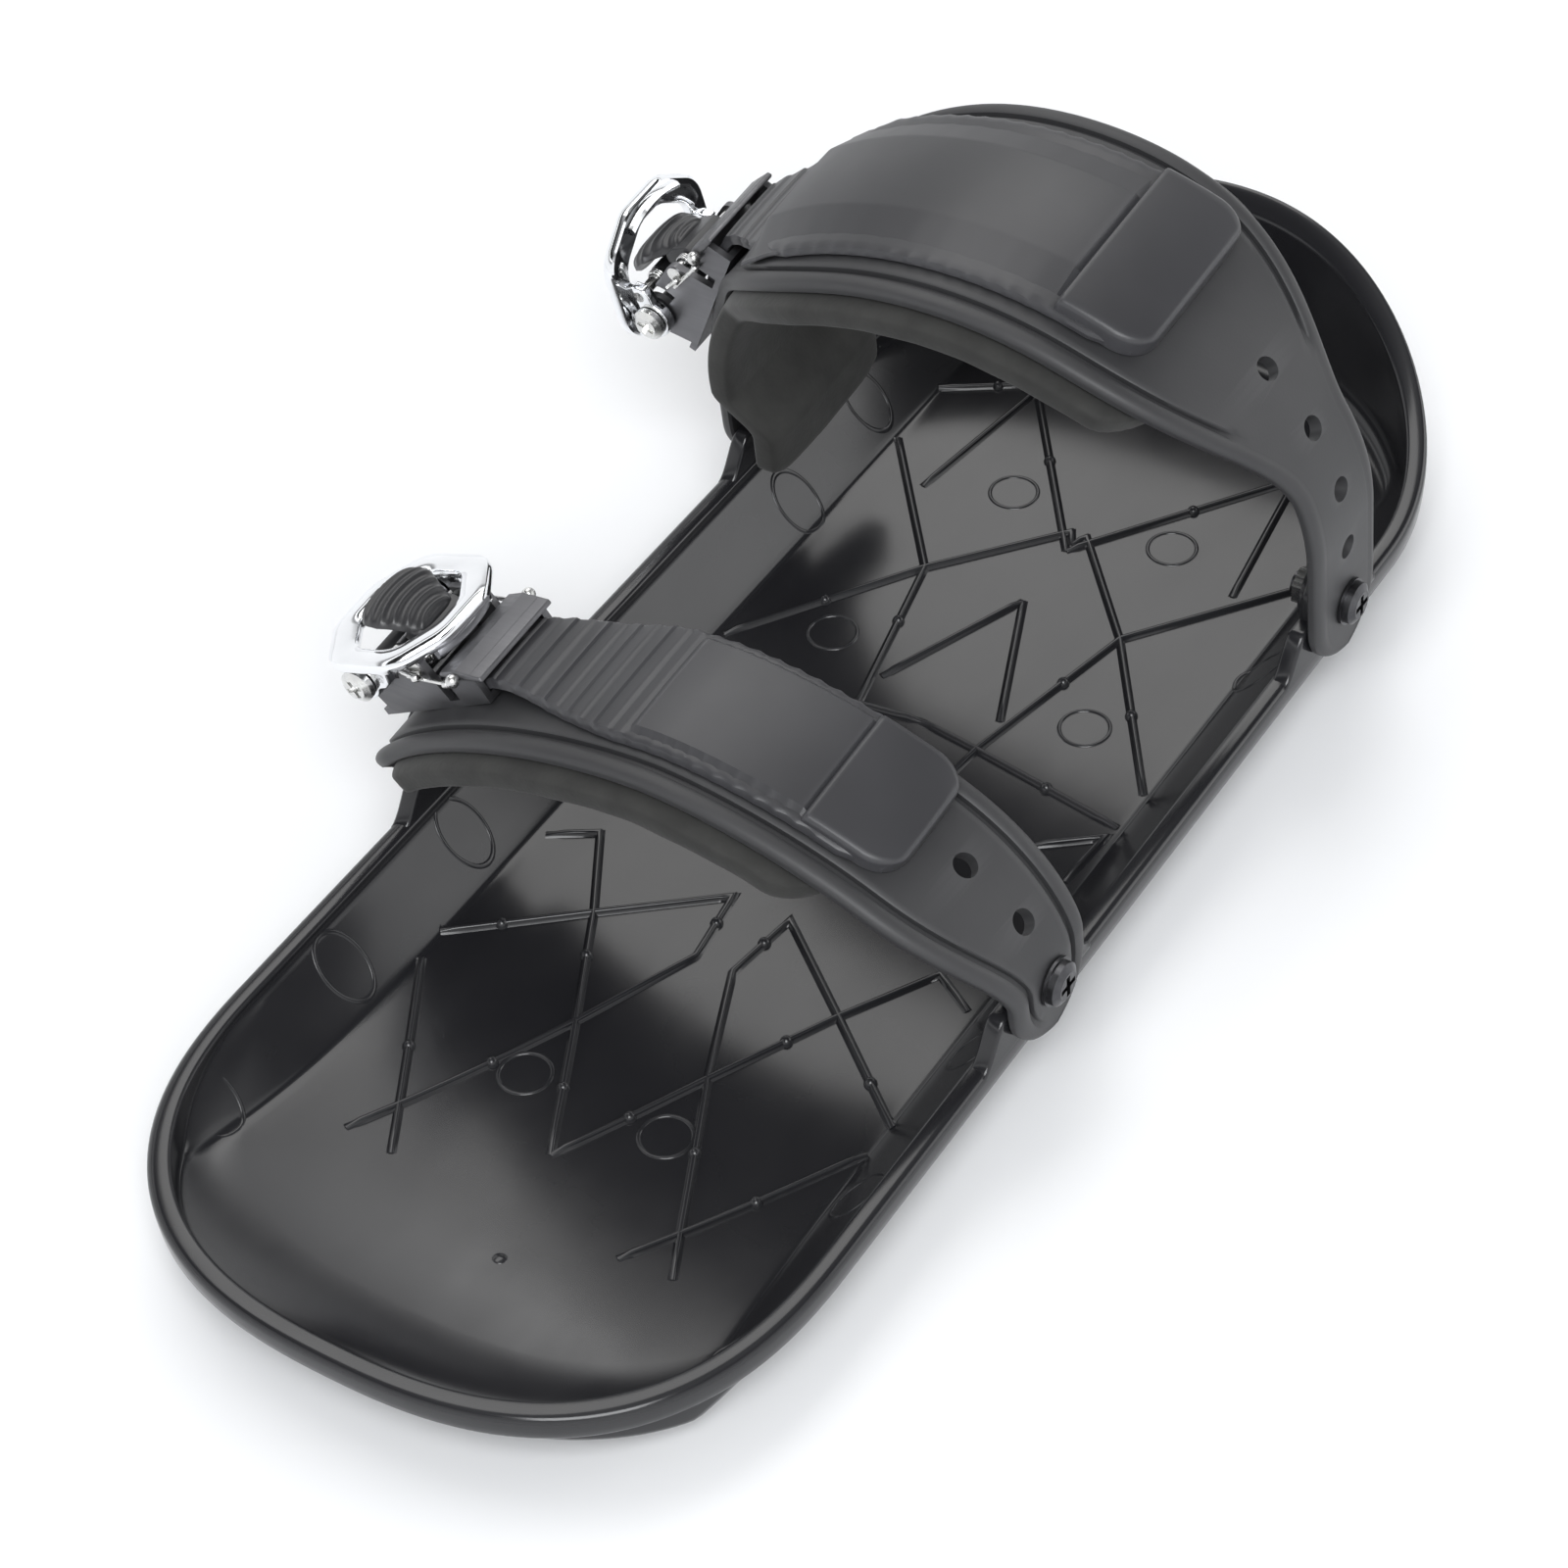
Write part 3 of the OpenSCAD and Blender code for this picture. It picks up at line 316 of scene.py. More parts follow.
def offset_sides(line, closed=False):
    """Unit side directions, with mitre lengths, at each point of a flat polyline."""
    before = line - np.roll(line, 1, axis=0)
    after = np.roll(line, -1, axis=0) - line
    if not closed:
        before[0], after[-1] = after[0], before[-1]
    before, after = unit(before), unit(after)
    side = unit(np.stack([-(before + after)[:, 1], (before + after)[:, 0]], axis=1))
    stretch = 1.0 / np.clip(side[:, 0] * -before[:, 1] + side[:, 1] * before[:, 0], 0.4, 1)
    return side * stretch[:, None]


def round_corners(corners, radius, steps):
    """A closed outline with each corner of a polygon rounded."""
    corners = np.asarray(corners, float)
    out = []
    for i, p in enumerate(corners):
        a, b = corners[i - 1] - p, corners[(i + 1) % len(corners)] - p
        la, lb = np.linalg.norm(a), np.linalg.norm(b)
        turn = math.acos(np.clip(np.dot(a, b) / la / lb, -1, 1))
        cut = min(radius / math.tan(turn / 2), la * 0.48, lb * 0.48)
        start, end = p + a / la * cut, p + b / lb * cut
        for t in np.linspace(0, 1, steps):
            out.append((1 - t) ** 2 * start + 2 * t * (1 - t) * p + t * t * end)
    return np.array(out)


def slab(outline, low, high, edge):
    """A plate with rounded edges: outline in (u, v), from w = low to w = high."""
    outline = np.asarray(outline, float)
    side = offset_sides(outline, closed=True)
    area = np.sum(outline[:, 0] * np.roll(outline[:, 1], -1) - np.roll(outline[:, 0], -1) * outline[:, 1])
    inward = side if area > 0 else -side
    bends = [(edge * (1 - math.sin(a)), edge * (1 - math.cos(a))) for a in np.linspace(0, math.pi / 2, 4)]
    sections = [(inset, low + rise) for inset, rise in bends] + [(inset, high - rise) for inset, rise in bends[::-1]]
    return loft([np.c_[outline + inward * inset, np.full(len(outline), w)] for inset, w in sections])


def side_plate(corners, radius, steps, low, high, edge, side=1):
    """A plate whose outline, seen from the buckle's side, has rounded corners; low to high is across the strap."""
    points, faces = slab(round_corners(corners, radius, steps), low, high, edge)
    return np.c_[points[:, 0], side * points[:, 2], points[:, 1]], faces


def rod(start, end, radius, sides):
    """A round bar whose chamfered ends stand a quarter of its radius past start and end."""
    start, end = Vector(start), Vector(end)
    turn = (end - start).to_track_quat("Z", "Y").to_matrix()
    rings = []
    for centre, share, shift in ((start, 0.7, -0.25), (start, 1, 0), (end, 1, 0), (end, 0.7, 0.25)):
        r = radius * share
        rings.append([centre + turn @ Vector((r * math.cos(a), r * math.sin(a), shift * radius))
                      for a in round_angles(sides)])
    return loft(rings)


def cut_holes(piece, rods):
    """Cuts round holes right through a piece."""
    points, faces = join(rods)
    mesh = bpy.data.meshes.new("cutter")
    mesh.from_pydata((points * 0.001).tolist(), [], faces)
    cutter = bpy.data.objects.new("cutter", mesh)
    bpy.context.scene.collection.objects.link(cutter)
    cut = piece.modifiers.new("holes", "BOOLEAN")
    cut.operation, cut.solver, cut.object = "DIFFERENCE", "EXACT", cutter
    bpy.context.view_layer.update()
    done = bpy.data.meshes.new_from_object(piece.evaluated_get(bpy.context.evaluated_depsgraph_get()))
    piece.modifiers.clear()
    piece.data = done
    shade_smooth(done, 38)
    bpy.data.objects.remove(cutter)


def soft_edge(piece, width_mm):
    """Small rounded edges on a piece, as paint and plating leave them."""
    bevel = piece.modifiers.new("edges", "BEVEL")
    bevel.width, bevel.segments, bevel.limit_method = width_mm / 1000, 2, "ANGLE"
    bevel.angle_limit = math.radians(40)
    bevel.harden_normals = True


# ---- deck

def smooth_max(a, b, soft):
    """The larger of two values, blended where they are closer than about soft."""
    return (a + b + np.sqrt((a - b) ** 2 + soft ** 2)) / 2


def sole_z(y):
    """Height of the sole's middle: flat, and turned up at both ends."""
    toe = TOE_LIFT * (np.clip((TOE_START - y) / TOE_ROCKER, 0, None)) ** 2
    heel = HEEL_LIFT * (np.clip((y - HEEL_START) / HEEL_ROCKER, 0, None)) ** 2
    return toe + heel


def rim_z(y):
    """Height of the rim's top, which climbs to the heel cup."""
    return RIM_H + HEEL_RISE * np.clip((y - HEEL_MID) / HEEL_ROUND, 0, None) ** 2.3


FLANK_RISE = (RIM_H - LIP_H / 3 - SKIN) / (INNER_HALF - FLOOR_HALF)
OUTER_FOOT = FLOOR_HALF + SKIN / 3
OUTER_RISE = (RIM_H - LIP_H) / (HULL_HALF - OUTER_FOOT)


def floor_z(x, y):
    """Height of the dish's inner surface."""
    return smooth_max(sole_z(y) + SKIN, SKIN + (np.abs(x) - FLOOR_HALF) * FLANK_RISE, 0.7) - 0.05


def under_z(x, y):
    """Height of the deck's underside."""
    return smooth_max(sole_z(y), (np.abs(x) - OUTER_FOOT) * OUTER_RISE, 0.5)


def end_angles(width, length, square, count):
    """Angles that space points evenly along a rounded end."""
    q = np.linspace(0, math.pi / 2, 2000)
    x, y = width * np.cos(q) ** (2 / square), length * np.sin(q) ** (2 / square)
    run = np.r_[0, np.cumsum(np.hypot(np.diff(x), np.diff(y)))]
    return np.interp(np.linspace(0, run[-1], count), run, q)


END_STEPS, SIDE_STEPS = 62, 58                  # stations round each end and along the straight side


def outline_at(inset):
    """The deck's outline moved in by inset, from the toe tip round the right side to the heel tip."""
    toe_q = end_angles(HALF_W, TOE_ROUND, TOE_SQUARE, END_STEPS)[::-1]
    heel_q = end_angles(HALF_W, HEEL_ROUND, HEEL_SQUARE, END_STEPS)
    straight = np.linspace(TOE_MID, HEEL_MID, SIDE_STEPS + 2)[1:-1]
    inset = np.zeros(2 * END_STEPS + SIDE_STEPS) + inset
    toe_in, mid_in, heel_in = inset[:END_STEPS], inset[END_STEPS:-END_STEPS], inset[-END_STEPS:]
    x = np.r_[(HALF_W - toe_in) * np.cos(toe_q) ** (2 / TOE_SQUARE), HALF_W - mid_in,
              (HALF_W - heel_in) * np.cos(heel_q) ** (2 / HEEL_SQUARE)]
    y = np.r_[TOE_MID - (TOE_ROUND - toe_in) * np.sin(toe_q) ** (2 / TOE_SQUARE), straight,
              HEEL_MID + (HEEL_ROUND - heel_in) * np.sin(heel_q) ** (2 / HEEL_SQUARE)]
    return x, y


def across_columns(edge_x, crease):
    """x places from the middle to the edge, close together near the crease."""
    inner = np.outer(crease, np.linspace(0, 0.95, 14))
    near = np.stack([crease + d for d in (-1.4, -0.8, -0.3, 0.0, 0.3, 0.8, 1.4)], axis=1)
    near = np.minimum(near, edge_x[:, None])
    inner = np.minimum(inner, near[:, :1])
    outer = near[:, -1:] + (edge_x[:, None] - near[:, -1:]) * np.linspace(0.2, 1, 5)[None, :]
    return np.concatenate([inner, near, outer], axis=1)


LIP_IN_R, LIP_OUT_R = 0.9, 1.7                  # the lip's top edges


def dish_columns():
    """The dish from its middle to the foot of the lip, with a rounded foot that is wider at both ends."""
    y0 = outline_at(0)[1]
    toe_share = np.clip((TOE_MID - y0) / TOE_ROUND, 0, 1)
    heel_share = np.clip((y0 - HEEL_MID) / HEEL_ROUND, 0, 1)
    foot_r = 1.0 + 17.0 * toe_share + 6.0 * heel_share
    foot_h = 1.0 + 1.5 * toe_share + 6.0 * heel_share
    x, y = outline_at(LIP_W + foot_r)
    crease = np.minimum(FLOOR_HALF + sole_z(y) / FLANK_RISE, x)
    columns = [(column, y, floor_z(column, y)) for column in across_columns(x, crease).T]
    for a in np.linspace(0.12, math.pi / 2, 11):
        x, y = outline_at(LIP_W + foot_r * (1 - math.sin(a)))
        columns.append((x, y, floor_z(x, y) + foot_h * (1 - math.cos(a))))
    x, y = outline_at(LIP_W)
    foot = floor_z(x, y) + foot_h
    top = rim_z(y) - LIP_IN_R
    return columns + [(x, y, np.maximum(foot, foot + (top - foot) * t)) for t in (0.15, 0.4, 0.7, 1.0)]


def lip_columns():
    """Over the lip: its inner edge, its top, its outer edge and its outer face."""
    places = [(LIP_W - LIP_IN_R * (1 - math.cos(a)), -LIP_IN_R + LIP_IN_R * math.sin(a))
              for a in np.linspace(0.3, math.pi / 2, 4)]
    places.append((LIP_W - 2.0, 0.08))          # a slight crown
    places += [(LIP_OUT_R * (1 - math.sin(a)), -LIP_OUT_R * (1 - math.cos(a))) for a in np.linspace(0, math.pi / 2, 5)]
    places += [(0.0, -3.6), (0.1, -(LIP_H - 0.9)), (0.35, -(LIP_H - 0.35)), (1.0, -LIP_H),
               (LIP_OUT - 0.2, -(LIP_H + 0.1))]
    columns = []
    for inset, rise in places:
        x, y = outline_at(inset)
        columns.append((x, y, rim_z(y) + rise))
    return columns


def under_lip(y):
    """The height where the hull meets the lip's underside."""
    return rim_z(y) - LIP_H - 0.15


def hull_z(x, y):
    """The underside's height, held below the lip."""
    return np.minimum(under_z(x, y), under_lip(y))


def hull_columns():
    """The hull from under the lip round its lower edge to the middle of the underside."""
    x, y = outline_at(LIP_OUT)
    high, low = under_lip(y), hull_z(x, y)
    edge_r = np.clip((high - low) * 0.6, 0.02, 2.2)
    columns = [(x, y, high + (low + edge_r - high) * t) for t in (0.0, 0.5, 1.0)]
    for a in np.linspace(0.3, math.pi / 2, 4):
        x, y = outline_at(LIP_OUT + edge_r * (1 - math.cos(a)))
        columns.append((x, y, hull_z(x, y) + edge_r * (1 - math.sin(a))))
    x, y = outline_at(LIP_OUT + edge_r)
    crease = np.minimum(OUTER_FOOT + sole_z(y) / OUTER_RISE, x)
    return columns + [(column, y, hull_z(column, y)) for column in across_columns(x, crease).T[::-1]]


def deck_shell():
    """One closed skin for dish, lip and hull: the right half's columns, then the same mirrored."""
    right = np.array(dish_columns() + lip_columns() + hull_columns())       # columns, xyz, rows
    left = right[::-1].copy()
    left[:, 0] *= -1
    rows = np.concatenate([right, left], axis=0).transpose(2, 0, 1)
    return rows.reshape(-1, 3), tube_faces(len(rows), rows.shape[1], caps=False)


# The dish's raised web on its right half, mirrored to the left: chains of (x, y) corners
WEB = [
    [(39, -125), (33, -113), (16, -78), (4.5, -51), (7, -33), (30, -51), (55, -71)],
    [(52, -37), (42, -31), (30, -51), (16, -78), (0, -110)],
    [(54, -79), (27, -126)],
    [(53, 34), (25, 74), (2, 100), (0, 96.5)],
    [(0, 94), (34, 140), (40, 98)],
    [(54, 110), (25, 74), (15, 29), (14, 19)],
    [(0, 75), (15, 39)],
    [(0, 31), (15, 29), (53, 23)],
    [(40, 10), (52, 19), (51, 4)],
    [(35, 142), (55, 130)]]
RINGS = [(62, -137), (17, -94.5), (61.5, -94), (62, -51), (32, 46), (59, 75), (20.5, 106), (62, 110)]
# Nubs on the web: its chain, the part of that chain, and the share of that part's length
NUBS = [(0, 3, 0.55), (0, 5, 0.6), (1, 2, 0.4), (1, 3, 0.5), (2, 0, 0.45), (3, 0, 0.5), (4, 0, 0.55), (5, 1, 0.4),
        (7, 1, 0.5), (0, 1, 0.5), (9, 0, 0.4)]


def rib(chain):
    """A thin moulded rib with filleted foot and fading ends, laid on the dish."""
    corners = [np.array(p, float) for p in chain]
    line = [corners[0]]
    for a, b in zip(corners, corners[1:]):
        count = max(2, int(np.linalg.norm(b - a) / 3.0))
        line += [a + (b - a) * t for t in np.linspace(0, 1, count + 1)[1:]]
    line = np.array(line)
    side = offset_sides(line)
    run = running_length(line)
    fade = np.clip(np.minimum(run, run[-1] - run) / 2.2 + 0.25, 0, 1)
    profile = [(-1.2, -0.5), (-1.05, 0.0), (-0.66, 0.16), (-0.52, 0.72), (-0.36, 0.96), (0, 1.02),
               (0.36, 0.96), (0.52, 0.72), (0.66, 0.16), (1.05, 0.0), (1.2, -0.5)]
    rows = []
    for p, s, f in zip(line, side, fade):
        row = []
        for u, h in profile:
            q = p + s * u * RIB_W / 1.5
            row.append((q[0], q[1], float(floor_z(q[0], q[1])) + (h * RIB_H * f if h > 0 else h)))
        rows.append(row)
    return loft(rows)


def on_dish(x, y, reach, angle, height):
    """A point at an angle and a reach from (x, y), height above the dish."""
    px, py = x + reach * math.cos(angle), y + reach * math.sin(angle)
    return px, py, float(floor_z(px, py)) + height


def dome(x, y, radius, height):
    """A small round nub on the dish."""
    return loft([[on_dish(x, y, radius * math.cos(a), t, height * math.sin(a) - 0.3) for t in round_angles(14)]
                 for a in np.linspace(0, math.pi / 2 * 0.96, 5)])


def mould_ring(x, y):
    """A faint raised circle left by an ejector pin."""
    section = [(-0.62, -0.3), (-0.42, 0.1), (-0.16, 0.28), (0.16, 0.28), (0.42, 0.1), (0.62, -0.3)]
    points = [on_dish(x, y, RING_D / 2 + d, t, h) for t in round_angles(56) for d, h in section]
    return np.array(points), hoop_faces(56, len(section))


def ear(hinge_y, flip):
    """A strap ear: the lip sweeps up in an S curve to a round boss."""
    v = np.linspace(-EAR_LEN / 2, EAR_LEN / 2, 81)
    climb = np.clip((EAR_LEN / 2 - np.abs(v)) / 9.0, 0, 1)
    ramp = RIM_H - 0.4 + (HINGE_Z - 1.2 - RIM_H) * ease(climb)
    boss = HINGE_Z + np.where(np.abs(v) < BOSS_R, np.sqrt(np.maximum(BOSS_R ** 2 - v ** 2, 0)), -40)
    top = smooth_max(ramp, boss, 1.2)
    outline = [(a, b) for a, b in zip(v, top)] + [(EAR_LEN / 2, RIM_H - 3), (-EAR_LEN / 2, RIM_H - 3)]
    inner_face = HALF_W - EAR_T
    plate = slab(outline[::-1], inner_face, HALF_W - 0.05, 0.8)
    circle = [((BOSS_R - 1) * math.cos(a), (BOSS_R - 1) * math.sin(a)) for a in round_angles(48)]
    disc = slab(circle, inner_face - 1.0, inner_face + 0.6, 0.3)
    sign = -1 if flip else 1
    return [(np.c_[sign * points[:, 2], points[:, 0] + hinge_y, points[:, 1] + lift], faces)
            for (points, faces), lift in ((plate, 0.0), (disc, HINGE_Z))]


def deck_web():
    """The raised web with its nubs, the mould rings and one low nub at the toe."""
    parts = [rib([(sign * x, y) for x, y in chain]) for chain in WEB for sign in (1, -1)]
    for chain, part, share in NUBS:
        a, b = np.array(WEB[chain][part], float), np.array(WEB[chain][part + 1], float)
        x, y = a + (b - a) * share
        parts += [dome(sign * x, y, 1.5, 1.9) for sign in (1, -1)]
    parts += [mould_ring(sign * x, y) for x, y in RINGS for sign in (1, -1)]
    return join(parts + [dome(8, -138, 1.7, 0.7)])


def make_deck():
    """The deck as three pieces: the dish, the web on it and the four ears."""
    shell = add_piece("deck_dish", *deck_shell(), "deck", "deck_body", sharp=50)
    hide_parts("deck")
    add_piece("deck_web", *deck_web(), "deck", "deck_body", sharp=60)
    ears = [part for k in (TOE, ANKLE) for flip in (False, True) for part in ear(k["hinge_y"], flip)]
    add_piece("deck_ears", *join(ears), "deck", "deck_body")


# ---- straps

def arch(k, q):
    """Outer surface of a strap in its own plane: points and outward directions at angles in degrees."""
    q = np.radians(np.asarray(q, float))
    c, s = np.cos(q), np.abs(np.sin(q))
    x = np.sign(c) * STRAP_OUT * np.abs(c) ** (2 / k["n"])
    r = k["leg"] + k["b"] * s ** (2 / k["n"])
    nx = np.sign(x) * (np.abs(x) / STRAP_OUT) ** (k["n"] - 1) / STRAP_OUT
    nr = ((r - k["leg"]) / k["b"]) ** (k["n"] - 1) / k["b"]
    size = np.hypot(nx, nr)
    return np.stack([x, r], -1), np.stack([nx / size, nr / size], -1)


def strap_world(k, x, c, r):
    """From the strap's plane to the row frame; c runs from front (minus) to rear."""
    lean = math.radians(k["lean"])
    x, c, r = np.broadcast_arrays(x, c, r)
    return np.stack([x, k["hinge_y"] + c * math.cos(lean) - r * math.sin(lean),
                     HINGE_Z + r * math.cos(lean) + c * math.sin(lean)], -1)


def strap_row(k, p, out, section):
    """A cross-section of (c, height) pairs stood on a point of the strap's plane, heights measured along out."""
    return [strap_world(k, p[0] + out[0] * h, c, p[1] + out[1] * h) for c, h in section]


def half_width(k, r, left, rear):
    """The strap's reach to the front or rear at height r: a round stem that flares to the full width."""
    low, high = k["flare"]["left" if left else "right"][1 if rear else 0]
    t = np.clip((r - low) / (high - low), 0, 1)
    wide = k["rear"] if rear else k["front"]
    straight = STEM_R + (wide - STEM_R) * ease(t)
    round_end = np.sqrt(np.maximum(STEM_R ** 2 - np.minimum(r, 0) ** 2, 1e-4))
    return np.minimum(straight, round_end) if r < 0 else straight


def strap_path(k):
    """Stations along the strap, from the right stem over the foot to the left stem."""
    low = -STEM_R * np.cos(np.linspace(0.02, math.pi / 2, 14))
    leg = np.linspace(0, k["leg"], k["leg_steps"])[1:-1]
    side = np.r_[low, leg]
    points, outs = arch(k, np.linspace(0.4, 179.6, 110))
    line = [((STRAP_OUT, r), (1, 0), False) for r in side]
    line += [(p, out, p[0] < 0) for p, out in zip(points, outs)]
    return line + [((-STRAP_OUT, r), (-1, 0), True) for r in side[::-1]]


def strap_profile(half, groove, side):
    """(c, depth) pairs from one edge, over its bead and groove, inwards; side is -1 in front and 1 behind."""
    edge = [(0.0, 1.6), (0.12, 1.0), (0.5, 0.45), (1.1, 0.1), (1.9, -0.12), (2.8, -0.12), (3.7, 0.05),
            (4.0, 0.25), (4.25, groove), (5.45, groove), (5.7, 0.25), (6.0, 0.02), (7.5, 0.0)]
    return [(side * (half - min(e, half * 0.97)), min(d, groove) if 3.9 < e < 5.8 else d) for e, d in edge]


def make_strap(k):
    """The band over the foot, with a grooved bead along both edges and its holes cut through."""
    rows = []
    for p, out, left in strap_path(k):
        front, rear = half_width(k, p[1], left, False), half_width(k, p[1], left, True)
        groove = 0.02 + 1.25 * float(np.clip((p[1] - k["groove_low"]) / 4.0, 0, 1))
        outer = strap_profile(front, groove, -1) + strap_profile(rear, groove, 1)[::-1]
        inner = [(rear - 0.05, 2.6), (rear - 0.6, 3.1), (rear * 0.6, 3.2), (0, 3.2), (-front * 0.6, 3.2),
                 (-front + 0.6, 3.1), (-front + 0.05, 2.6)]
        rows.append(strap_row(k, p, out, [(c, -depth) for c, depth in outer + inner]))
    strap = add_to(k, "strap_band", loft(rows), "strap")
    cut_holes(strap, strap_bores(k))
    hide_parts(k["name"] + "_strap")


def path_place(k, distance):
    """Point and outward direction a distance up the right side, measured from the hinge."""
    if distance < k["leg"]:
        return np.array([STRAP_OUT, distance]), np.array([1.0, 0.0])
    points, outs = arch(k, np.linspace(0, 120, 1200))
    run = k["leg"] + running_length(points)
    i = int(np.searchsorted(run, distance))
    return points[i], outs[i]


def strap_rod(k, point, out, radius):
    """A cutter 18 mm long, centred on a point of the strap's outer face."""
    a, b = point - out * 9.0, point + out * 9.0
    return rod(strap_world(k, a[0], 0, a[1]), strap_world(k, b[0], 0, b[1]), radius, 40)


def strap_bores(k):
    """The spare holes up the right side and the two hinge holes."""
    spare = [strap_rod(k, *path_place(k, i * HOLE_PITCH), SPARE_R) for i in range(1, k["holes"] + 1)]
    hinge = [strap_rod(k, np.array([sign * STRAP_OUT, 0.0]), np.array([1.0, 0.0]), SCREW_R) for sign in (1, -1)]
    return spare + hinge


# ---- foam pads

PAD_UNDER = STRAP_T + PAD_GAP                   # the pad's outer face, below the strap's
PAD_LEG_X = 62.15                               # how far out the ankle pad's leg hangs
PAD_EDGE, PAD_GROW = 1.2, 3.5                   # its least thickness, and its reach past the strap's edges


def pad_stations(k):
    """Stations along the pad; the ankle pad goes on down inside the deck's left wall."""
    points, outs = arch(k, np.linspace(*k["pad"], 90))
    stations = [(p, o, p[0] < 0) for p, o in zip(points, outs)]
    if k is ANKLE:
        for t in np.linspace(0, 1, 24)[1:]:
            shift = (STRAP_OUT - PAD_UNDER - PAD_LEG_X) * ease(float(np.clip((t - 0.12) / 0.4, 0, 1)))
            place = np.array([-STRAP_OUT + shift, k["leg"] - (k["leg"] + 5) * t])
            stations.append((place, np.array([-1.0, 0.0]), True))
    return stations


def pad_section(front, rear, thick, taper):
    """A rounded box of (c, height) pairs with a crowned underside."""
    section = []
    for a in round_angles(44):
        c, h = math.cos(a), math.sin(a)
        across = math.copysign(abs(c) ** 0.22, c)
        lift = math.copysign(abs(h) ** 0.36, h)
        crown = 0.7 * (1 - across ** 2) * taper if lift < 0 else 0
        depth = PAD_UNDER + thick / 2 - lift * thick / 2 + crown
        section.append((across * (rear if across > 0 else front), -depth))
    return section


def make_pad(k):
    """A crowned foam pad under the strap: thick in the middle, thin and round at its ends and edges."""
    stations = pad_stations(k)
    run = running_length([station[0] for station in stations])
    rows = []
    for (p, out, left), s in zip(stations, run):
        near_end = min(s, (run[-1] - s) * k["pad_blunt"])
        taper = math.sqrt(max(1e-4, 1 - max(0, 1 - near_end / 8.0) ** 2))
        round_end = math.sqrt(max(0.02, 1 - max(0, 1 - near_end / 16.0) ** 2))
        ruffle = (0.10 * math.sin(s * 0.21) + 0.05 * math.sin(s * 0.47 + 1.3)) * taper
        least_front, least_rear = (20.0, 25.0) if k is ANKLE and left else (0.0, 0.0)
        height = max(p[1], 0)
        front = max(half_width(k, height, left, False) + PAD_GROW, least_front) * round_end + ruffle
        rear = max(half_width(k, height, left, True) + PAD_GROW, least_rear) * round_end - ruffle
        rows.append(strap_row(k, p, out, pad_section(front, rear, PAD_EDGE + (PAD_T - PAD_EDGE) * taper, taper)))
    pad = add_to(k, "foam_pad", loft(rows), "pad", sharp=75)
    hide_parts(k["name"] + "_pad")


# ---- ladders

def seat(k):
    """The buckle's seat: its point, and its directions along and out of the strap, in the strap's plane."""
    p, o = arch(k, [k["seat"]])
    return p[0], np.array([-o[0][1], o[0][0]]), o[0]


def from_seat(k, s, n):
    """A point s along the buckle and n above its seat."""
    p, along, up = seat(k)
    return p + s * along + n * up


def ladder_path(k):
    """The underside of the ladder, along the strap and then up into the buckle; and where it enters."""
    gap, rise, entry, tail = 0.3, 1.9, -12.0, 21.0
    p, o = arch(k, np.linspace(k["tab"], k["lift"], 60))
    first = p + o * gap
    a, d = first[-1], from_seat(k, entry, rise)
    along = seat(k)[1]
    tangent = np.array([-o[-1][1], o[-1][0]])
    reach = np.linalg.norm(d - a) / 3
    t = np.linspace(0, 1, 24)[1:-1, None]
    lift = ((1 - t) ** 3 * a + 3 * (1 - t) ** 2 * t * (a + reach * tangent)
            + 3 * (1 - t) * t * t * (d - reach * along) + t ** 3 * d)
    end = from_seat(k, tail, rise)
    return resample(np.vstack([first, lift, [d], [end]]), 0.55), d[0]


LADDER_HALF, TOOTH_PITCH, SCALLOP_PITCH = 10.0, 3.6, 4.6


def ladder_half(k, x, near):
    """The ladder's half width, wider under its cover than in the buckle."""
    wide = k["cover"] / 2
    t = np.clip((x - near) / k["wide_run"], 0, 1)
    return LADDER_HALF + (wide - LADDER_HALF) * (ease(t) * 0.5 + t * 0.5)


def ladder_section(half, tooth, scallop):
    """The ladder's (c, height) pairs: a flat foot, scalloped sides and a top raised by the tooth."""
    top = 2.2 + tooth
    profile = [(0, 0.0), (0.96, 0.0), (1, 0.25), (1, 1.2), (0.985, 1.75), (0.95, top - 0.1), (0.9, top),
               (0.5, top + 0.12), (0, top + 0.15)]
    both = profile + [(-u, h) for u, h in profile[-2:0:-1]]
    return [(u * (half - scallop * (1 if h > 1 else 0.3)), h) for u, h in both]


def make_ladder(k):
    """The ladder band with its teeth near the buckle, then its cover and its tab."""
    path, near = ladder_path(k)
    run = running_length(path)
    along = unit(np.gradient(path, axis=0))
    outs = np.stack([along[:, 1], -along[:, 0]], axis=1)
    entry = run[np.argmin(np.abs(path[:, 0] - near))]
    toothed = entry - k["toothed"]
    rows = []
    for p, out, s in zip(path, outs, run):
        grip = float(np.clip((s - toothed) / 1.0, 0, 1))
        phase = (s - toothed) % TOOTH_PITCH / TOOTH_PITCH
        tooth = 0.5 * grip * (1 - phase ** 0.6 if phase > 0.12 else phase / 0.12)
        scallop = 0.42 * abs(math.sin(math.pi * s / SCALLOP_PITCH)) * (1.0 if 14 < s < entry else 0.0)
        end = float(np.clip((run[-1] - s) / 5.0, 0, 1))
        half = float(ladder_half(k, p[0], near))
        half = half * (0.75 + 0.25 * math.sqrt(end * (2 - end))) - 2.5 * max(0.0, 1 - s / 9.0)
        rows.append(strap_row(k, p, out, ladder_section(half, tooth, scallop)))
    band = add_to(k, "ladder_band", loft(rows), "ladder", sharp=30)
    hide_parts(k["name"] + "_ladder")
    make_cover(k)
    make_tab(k)


